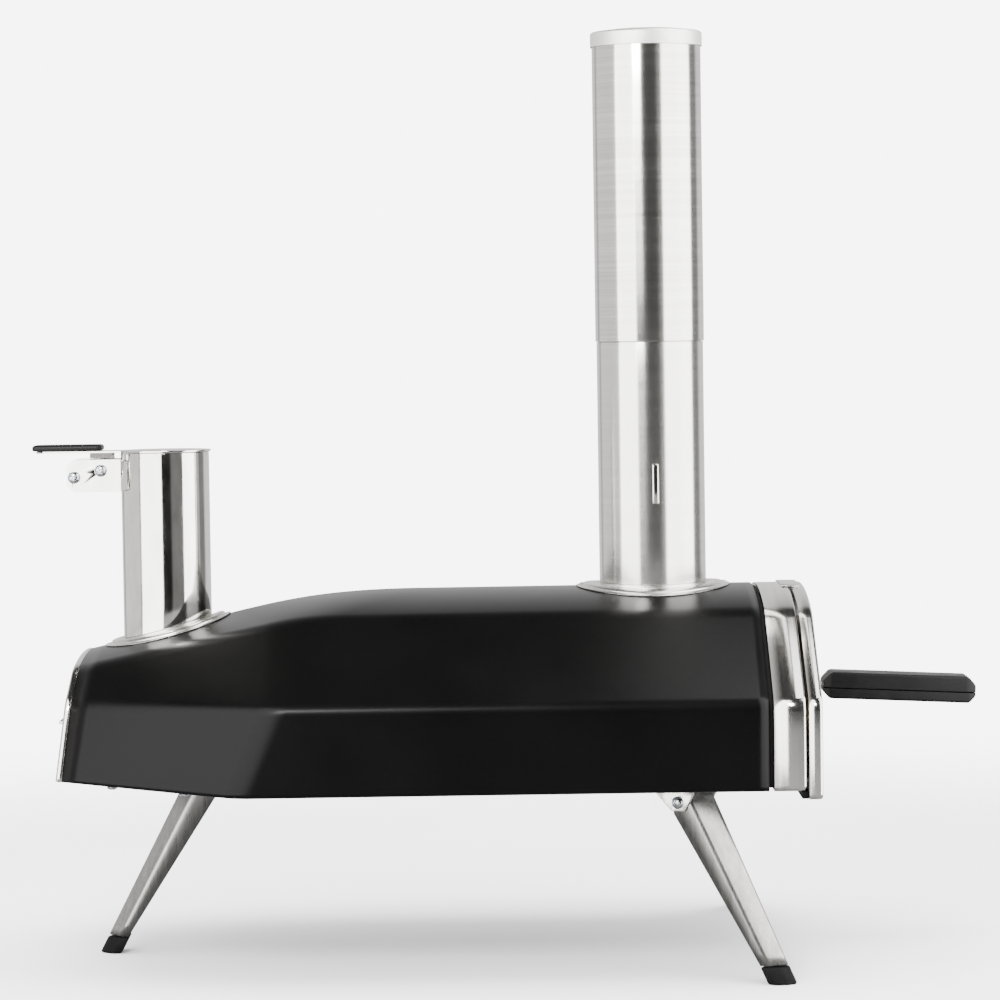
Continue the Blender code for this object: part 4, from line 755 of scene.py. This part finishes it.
legShape = {
    "run": 0.083, "runBack": 0.0122, "halfTop": 0.016, "halfFoot": 0.011, "corner": 0.009, "ridgeTop": 0.010,
    "ridgeFoot": 0.0084, "sheet": 0.0015, "bend": 0.0016, "ridgeBend": 0.0022, "steps": 4, "rows": 14,
    "flangeTop": -0.0045, "flangeNeck": -0.0080, "flangeFoot": 0.0033, "topRise": 0.006, "topClear": 0.0075,
    "neckDrop": 0.006, "neckTaper": 0.0003, "footHeight": 0.0137,
}


def legPlace(label):
    # upright frame at the pivot, the frame that leans with the leg, its tilt and the pivot's height
    joint = joints[f"leg_fold_{label}"]
    pivot, axis = Vector(joint["pos_m"]), joint["axis"]
    upright = Matrix.Translation(pivot) @ Matrix.Rotation(math.atan2(-axis[0], axis[1]), 4, "Z")
    tilt = math.atan2(legShape["run"] - legShape["runBack"], pivot.z)
    return upright, upright @ Matrix.Rotation(-tilt, 4, "Y"), tilt, pivot.z


def alongLeg(points, height, tilt):
    # how far along the leaning leg each point of a section reaches a height over the pivot
    return (height - points[:, 0] * math.sin(tilt)) / math.cos(tilt)


def legSection(flange, half, ridge):
    # a folded channel: two flanges, two corners and a ridge down its outer face
    s = legShape
    depths = np.array([flange, s["corner"], s["corner"] + ridge, s["corner"], flange])
    widths = np.array([-half, -half, 0, half, half])
    return softLine(np.stack([depths, widths], axis=1), [0, s["bend"], s["ridgeBend"], s["bend"], 0], s["steps"])


def makeLeg(label):
    # one section at the top, and from the neck to the foot a straight blend of two
    s = legShape
    upright, leaning, tilt, pivotZ = legPlace(label)
    top = legSection(s["flangeTop"], s["halfTop"], s["ridgeTop"])
    neck = legSection(s["flangeNeck"], s["halfTop"] - s["neckTaper"], s["ridgeTop"])
    foot = legSection(s["flangeFoot"], s["halfFoot"], s["ridgeFoot"])
    first = np.column_stack([top, np.minimum(s["topRise"], alongLeg(top, s["topClear"], tilt))])
    second = np.column_stack([neck, np.full(len(neck), -s["neckDrop"])])
    last = np.column_stack([foot, alongLeg(foot, s["footHeight"] - pivotZ, tilt)])
    share = np.linspace(0, 1, s["rows"])[:, None, None]
    grid = np.concatenate([first[None], second + (last - second) * share])
    leg = pieceFromGrid(f"leg-{label}".replace("_", "-"), placed(grid, leaning), shadedLegSteel, f"leg_{label}",
                        loopAcross=False, wall=s["sheet"], turnOut=False)
    largest = max(leg.data.polygons, key=lambda face: face.area)
    if largest.normal.dot(leaning.col[0].to_3d()) < 0:
        leg.data.flip_normals()
    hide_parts(f"leg_{label}")


footShape = {
    "spread": 0.0014, "back": 0.0025, "ridgeIn": 0.002, "ridgeOut": 0.001, "ridgeHalf": 0.55, "steps": 4,
    "reaches": (0.0012, 0.0018, 0.0016, 0.0016, 0.0016, 0.0018, 0.0012), "halfSize": 0.010,
    # pairs of height and draw-in, from the leg's end down and then up from the floor
    "rim": ((-0.0010, 0.0009), (-0.0013, 0.0003), (-0.0020, 0)),
    "tread": ((0.0012, 0), (0.0004, 0.0004), (0, 0.0011)),
}


def makeFoot(label):
    # one rounded outline in level rings, drawn in near the rim and the tread
    s, f = legShape, footShape
    upright, leaning, tilt, pivotZ = legPlace(label)
    half, corner, ridge = s["halfFoot"] + f["spread"], s["corner"], s["corner"] + s["ridgeFoot"]
    inner, outer = ridge - f["ridgeIn"], ridge + f["ridgeOut"]
    outline = np.array([(f["back"], -half), (corner, -half), (inner, -f["ridgeHalf"] * half), (outer, 0),
                        (inner, f["ridgeHalf"] * half), (corner, half), (f["back"], half)])
    loop = softLoop(outline, f["reaches"], f["steps"])
    centre = loop.mean(0)
    levels = [(s["footHeight"] - pivotZ + rise, inset) for rise, inset in f["rim"]]
    levels += [(rise - pivotZ, inset) for rise, inset in f["tread"]]
    rings = [centre + (loop - centre) * (1 - inset / f["halfSize"]) for _, inset in levels]
    rows = [np.column_stack([ring, alongLeg(ring, level, tilt)]) for ring, (level, _) in zip(rings, levels)]
    foot = pieceFromGrid(f"foot-{label}".replace("_", "-"), placed(np.array(rows), leaning), rubber,
                         f"foot_{label}", capFirst=True, capLast=True)
    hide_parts(f"foot_{label}")


pinShape = {"play": 0.0006, "bracket": 0.002, "proud": 0.0003, "tail": 0.002, "shank": 0.0025, "nut": 0.0042,
            "dome": 0.0026}


def makeLegPin(label):
    # the pin runs through the leg and both cheeks of its bracket
    p = pinShape
    upright = legPlace(label)[0]
    face = legShape["halfTop"] + p["play"] + p["bracket"] + p["proud"]
    crossScrew(f"legPin-{label}".replace("_", "-"), f"leg_pin_{label}", upright @ sideways, shank=p["shank"],
               foot=face + p["tail"], nut=p["nut"], face=face, dome=p["dome"])


for label in ("rear", "front_left", "front_right"):
    makeLeg(label)
    makeFoot(label)
    makeLegPin(label)
print("legs made")


handleShape = {
    "droop": math.radians(2.8), "top": 0.2080, "seam": 0.0085, "halfWidth": 0.017, "thick": 0.0212,
    "chamfer": 0.0065, "chamferShare": 0.62, "edge": 0.0022, "seamEdge": 0.0005, "seamGap": 0.00035, "steps": 5,
    # the end's edge: metres along the grip, metres of drop beyond the chamfer, metres drawn in
    "end": ((0, 0.0006, 0.0012), (0.0004, 0.0001, 0.0004), (0.0012, -0.0010, 0)), "taper": 0.35,
    "endPlay": 0.0006, "start": 0.0001,
}


def makeHandle():
    # Each half is a rounded box section carried along the grip. Its outer face drops on a
    # chamfer at both ends, and its end edges are drawn in.
    s = handleShape
    low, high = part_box("handle_upper")
    length = (high.x - low.x - s["endPlay"]) / math.cos(s["droop"])
    axisZ = s["top"] - s["thick"] / 2 + s["seam"]
    grip = Matrix.Translation((low.x - s["start"], 0, axisZ)) @ Matrix.Rotation(s["droop"], 4, "Y")
    for name, node, far, side in (("gripUpper", "handle_upper", s["thick"] - s["seam"], 1),
                                  ("gripLower", "handle_lower", s["seam"], -1)):
        chamfer = min(s["chamfer"], far * s["chamferShare"])
        stations = [(x, chamfer + drop, inset) for x, drop, inset in s["end"]]
        stations += [(chamfer * 0.8, chamfer * 0.2, 0), (chamfer, 0.0004, 0), (chamfer * 1.25, 0, 0)]
        stations += [(length - x, drop, inset) for x, drop, inset in stations[::-1]]
        rows = []
        for x, drop, inset in stations:
            w, f = s["halfWidth"] - inset - drop * s["taper"], far - drop
            corners = np.array([(-w, s["seamGap"]), (-w, f), (w, f), (w, s["seamGap"])])
            ring = softLoop(corners, [s["seamEdge"], s["edge"], s["edge"], s["seamEdge"]], s["steps"])
            rows.append(np.stack([np.full(len(ring), x), ring[:, 0], side * ring[:, 1]], axis=1))
        half = pieceFromGrid(name, placed(np.array(rows), grip), nylon, node, capFirst=True, capLast=True)
        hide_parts(node)


makeHandle()


padShape = {
    "corner": 0.0036, "steps": 6,
    # pairs of height and draw-in, up from the foot and then down from the top
    "foot": ((0, 0.0012), (0.0004, 0.0003), (0.0012, 0)),
    "top": ((0.0018, 0), (0.0009, 0.0004), (0.0003, 0.0011), (0, 0.0022)),
}


def makeLidPad():
    # a slab with round corners: rings of one outline, drawn in near its top and its foot
    low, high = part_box("lid_pad")
    corners = np.array([(low.x, low.y), (high.x, low.y), (high.x, high.y), (low.x, high.y)])
    centre = corners.mean(0)
    size = (corners[2] - corners[0]) / 2
    levels = [(low.z + rise, inset) for rise, inset in padShape["foot"]]
    levels += [(high.z - drop, inset) for drop, inset in padShape["top"]]
    rows = []
    for z, inset in levels:
        drawn = centre + (corners - centre) * (1 - inset / size)
        ring = softLoop(drawn, [padShape["corner"]] * 4, padShape["steps"])
        rows.append(np.column_stack([ring, np.full(len(ring), z)]))
    pad = pieceFromGrid("lidPad", np.array(rows), nylon, "lid_pad", capFirst=True, capLast=True)
    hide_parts("lid_pad")


makeLidPad()
print("handle and lid pad made")


# pieces kept from the frame take their slot's finish unless they are named here
ownFinish = {
    "hopper_hinge_left": polished, "hopper_hinge_right": polished, "rear_panel": brushedUpright,
    "burner_face": brushedUpright, "chimney_coupling": brushedLower,
}
easedEdge = {
    "others": 0.00025, "baking_stone": 0.0015, "hopper_lid": 0.0003, "handle_tang": 0.0003, "door_hook": 0.0003,
    "chimney_lug": 0.0007,
}


def dressNodes():
    # a small bevel takes the sharpness off every edge, once the loose corners are joined
    for name, piece in nodes.items():
        if piece.hide_render:
            continue
        piece.data.materials.clear()
        piece.data.materials.append(ownFinish.get(name, finishOf[slotOf[name]]))
        piece.data.shade_smooth()
        weld = piece.modifiers.new("joined corners", "WELD")
        weld.merge_threshold = 0.00002
        bevel = piece.modifiers.new("eased edges", "BEVEL")
        bevel.width = easedEdge.get(name, easedEdge["others"])
        bevel.segments = 2
        bevel.limit_method = "ANGLE"
        bevel.angle_limit = sharpAngle
        bevel.harden_normals = True


dressNodes()
print("frame pieces dressed")


studio = {
    "floor": "#e9e9ea", "floorCloud": "#efefef", "fadeFrom": 0.75, "fadeTo": 1.7, "floorHidden": 0.85,
    "backdrop": 7.0, "fill": 3.4, "back": 0.13, "front": 0.002, "dim": 0.025, "grey": 0.14, "rim": 0.03,
    "level": 10.0, "ceiling": 0.2, "card": 8.0, "cardHeight": 1.5, "overhead": 9.0, "crease": 60.0, "top": 6.0,
}
view = {"place": (-0.003, -3.0, 0.495), "pitch": 2.596, "roll": 0.85, "lens": 135.0}


def makeFloor():
    # a wide flat sheet under the feet, painted matt
    material, tree, shader = newMaterial("matt painted studio floor", {"Roughness": 0.9})
    cloud = pattern(tree, (900, 900, 900), 2)
    tree.links.new(between(tree, remap(tree, cloud, 0, 1), linear(studio["floor"]), linear(studio["floorCloud"])),
                   shader.inputs["Base Color"])
    # the sheet fades out between two distances from its middle, so that it has no visible edge
    place = addNode(tree, "ShaderNodeTexCoord")
    flat = addNode(tree, "ShaderNodeVectorMath", {0: place.outputs["Object"]}, operation="LENGTH")
    fade = addNode(tree, "ShaderNodeMapRange", {"Value": flat.outputs["Value"], "From Min": studio["fadeFrom"],
                                                "From Max": studio["fadeTo"]}, interpolation_type="SMOOTHSTEP")
    # and steel mirrors only a little of it, as if the sheet ended just out of its sight
    path = addNode(tree, "ShaderNodeLightPath")
    unseen = addNode(tree, "ShaderNodeMath", {0: path.outputs["Is Glossy Ray"], 1: studio["floorHidden"]},
                     operation="MULTIPLY")
    gone = addNode(tree, "ShaderNodeMath", {0: fade.outputs[0], 1: unseen.outputs[0]}, operation="MAXIMUM")
    clear = addNode(tree, "ShaderNodeBsdfTransparent")
    mixed = addNode(tree, "ShaderNodeMixShader", {0: gone.outputs[0], 1: shader.outputs[0], 2: clear.outputs[0]})
    tree.links.new(mixed.outputs[0], tree.nodes["Material Output"].inputs["Surface"])
    span = np.linspace(-1, 1, 17)
    x, y = np.meshgrid(span * studio["fadeTo"], span * studio["fadeTo"])
    grid = np.stack([x, y, 0 * x - 0.0003], axis=-1)
    mesh = bpy.data.meshes.new("studioFloor")
    mesh.from_pydata(grid.reshape(-1, 3).tolist(), [], gridQuads(*grid.shape[:2]).tolist())
    mesh.materials.append(material)
    floor = bpy.data.objects.new("studioFloor", mesh)
    bpy.context.scene.collection.objects.link(floor)


def makeSky():
    # What the steel mirrors where it doesn't see a card: a dark room in front, dim grey to the
    # sides and a pale wall behind, all of it fading out overhead and under the floor's level.
    world = bpy.data.worlds.new("studio")
    bpy.context.scene.world = world
    world.use_nodes = True
    tree = world.node_tree
    tree.nodes.clear()
    place = addNode(tree, "ShaderNodeTexCoord")
    axes = addNode(tree, "ShaderNodeSeparateXYZ", {0: place.outputs["Generated"]})
    forward = addNode(tree, "ShaderNodeMath", {0: axes.outputs[1], 1: -1.0}, operation="MULTIPLY")
    bearing = addNode(tree, "ShaderNodeMath", {0: axes.outputs[0], 1: forward.outputs[0]}, operation="ARCTAN2")
    share = addNode(tree, "ShaderNodeMapRange",
                    {"Value": bearing.outputs[0], "From Min": -math.pi, "From Max": math.pi})
    back, front, grey, dim, rim = (studio[name] for name in ("back", "front", "grey", "dim", "rim"))
    bearings = (  # degrees from straight ahead, and how bright the room is there
        (-180, back), (180, back), (-146, back), (-141, rim), (-133, grey), (-70, grey), (-62, front), (16, front),
        (22, dim), (60, dim), (75, grey), (98, grey), (104, rim), (122, rim), (130, back))
    stops = [(degrees / 360 + 0.5, (light, light, light, 1)) for degrees, light in bearings]
    around = addNode(tree, "ShaderNodeValToRGB", {0: share.outputs[0]}, stops=stops)
    above = addNode(tree, "ShaderNodeMapRange", {"Value": axes.outputs[2], "From Min": 0.35, "From Max": 0.80,
                                                 "To Min": studio["level"], "To Max": studio["ceiling"]},
                    interpolation_type="SMOOTHSTEP")
    below = addNode(tree, "ShaderNodeMapRange", {"Value": axes.outputs[2], "From Min": -0.45, "From Max": -0.10,
                                                 "To Min": 0.12, "To Max": 1.0}, interpolation_type="SMOOTHSTEP")
    height = addNode(tree, "ShaderNodeMath", {0: above.outputs[0], 1: below.outputs[0]}, operation="MULTIPLY")
    glossy = addNode(tree, "ShaderNodeBackground", {0: around.outputs[0], 1: height.outputs[0]})
    even = addNode(tree, "ShaderNodeBackground", {0: linear("#ffffff"), 1: studio["fill"]})
    seen = addNode(tree, "ShaderNodeBackground", {0: linear("#ffffff"), 1: studio["backdrop"]})
    path = addNode(tree, "ShaderNodeLightPath")
    lit = addNode(tree, "ShaderNodeMixShader",
                  {0: path.outputs["Is Glossy Ray"], 1: even.outputs[0], 2: glossy.outputs[0]})
    both = addNode(tree, "ShaderNodeMixShader",
                   {0: path.outputs["Is Camera Ray"], 1: lit.outputs[0], 2: seen.outputs[0]})
    addNode(tree, "ShaderNodeOutputWorld", {0: both.outputs[0]})


def softbox(name, place, target, size, radiance, mirrored=True, mirroredOnly=False):
    # an evenly lit panel: its power is radiance times its area times pi
    light = bpy.data.lights.new(name, "AREA")
    light.shape = "RECTANGLE"
    light.size, light.size_y = size
    light.energy = radiance * size[0] * size[1] * math.pi
    lamp = bpy.data.objects.new(name, light)
    aim = (Vector(target) - Vector(place)).to_track_quat("-Z", "Y")
    lamp.matrix_world = Matrix.Translation(place) @ aim.to_matrix().to_4x4()
    lamp.visible_glossy = mirrored
    lamp.visible_camera = False
    lamp.visible_diffuse = not mirroredOnly
    bpy.context.scene.collection.objects.link(lamp)


def uprightCard(name, near, far):
    # a tall white card whose foot runs from one point of the floor to another, lit toward the oven
    near, far, height = Vector(near), Vector(far), studio["cardHeight"]
    centre = (near + far) / 2
    across = (far - near).normalized()
    facing = Vector((across.y, -across.x))
    if facing.dot(-centre) < 0:
        facing = -facing
    place = Vector((centre.x, centre.y, height / 2))
    size = ((far - near).length, height)
    softbox(name, place, place + Vector((facing.x, facing.y, 0)), size, studio["card"], mirroredOnly=True)


def makeCamera():
    # a long lens, level with the joint of the chimney's two tubes and tipped down a little
    camera = bpy.data.cameras.new("studioCamera")
    camera.lens = view["lens"]
    camera.sensor_width = 36
    camera.clip_start, camera.clip_end = 0.05, 60
    eye = bpy.data.objects.new("studioCamera", camera)
    tip = Matrix.Rotation(math.radians(90 - view["pitch"]), 4, "X")
    roll = Matrix.Rotation(math.radians(-view["roll"]), 4, "Z")
    eye.matrix_world = Matrix.Translation(view["place"]) @ tip @ roll
    bpy.context.scene.collection.objects.link(eye)
    bpy.context.scene.camera = eye


makeFloor()
makeSky()
softbox("overheadSoftbox", (0.0, 0.2, 2.6), (0, 0, 0.1), (2.6, 2.2), studio["overhead"], mirrored=False)
uprightCard("leftCard", (-0.345, -0.83), (-0.95, -0.36))
uprightCard("rightCard", (0.435, -0.59), (0.95, 0.10))
softbox("creaseSoftbox", (-0.36, -1.1, 0.95), (-0.12, -0.19, 0.21), (0.34, 0.30), studio["crease"])
softbox("frontTopSoftbox", (0.34, -0.10, 1.02), (0.34, -0.10, 0), (0.36, 0.36), studio["top"])
makeCamera()
print("studio made")
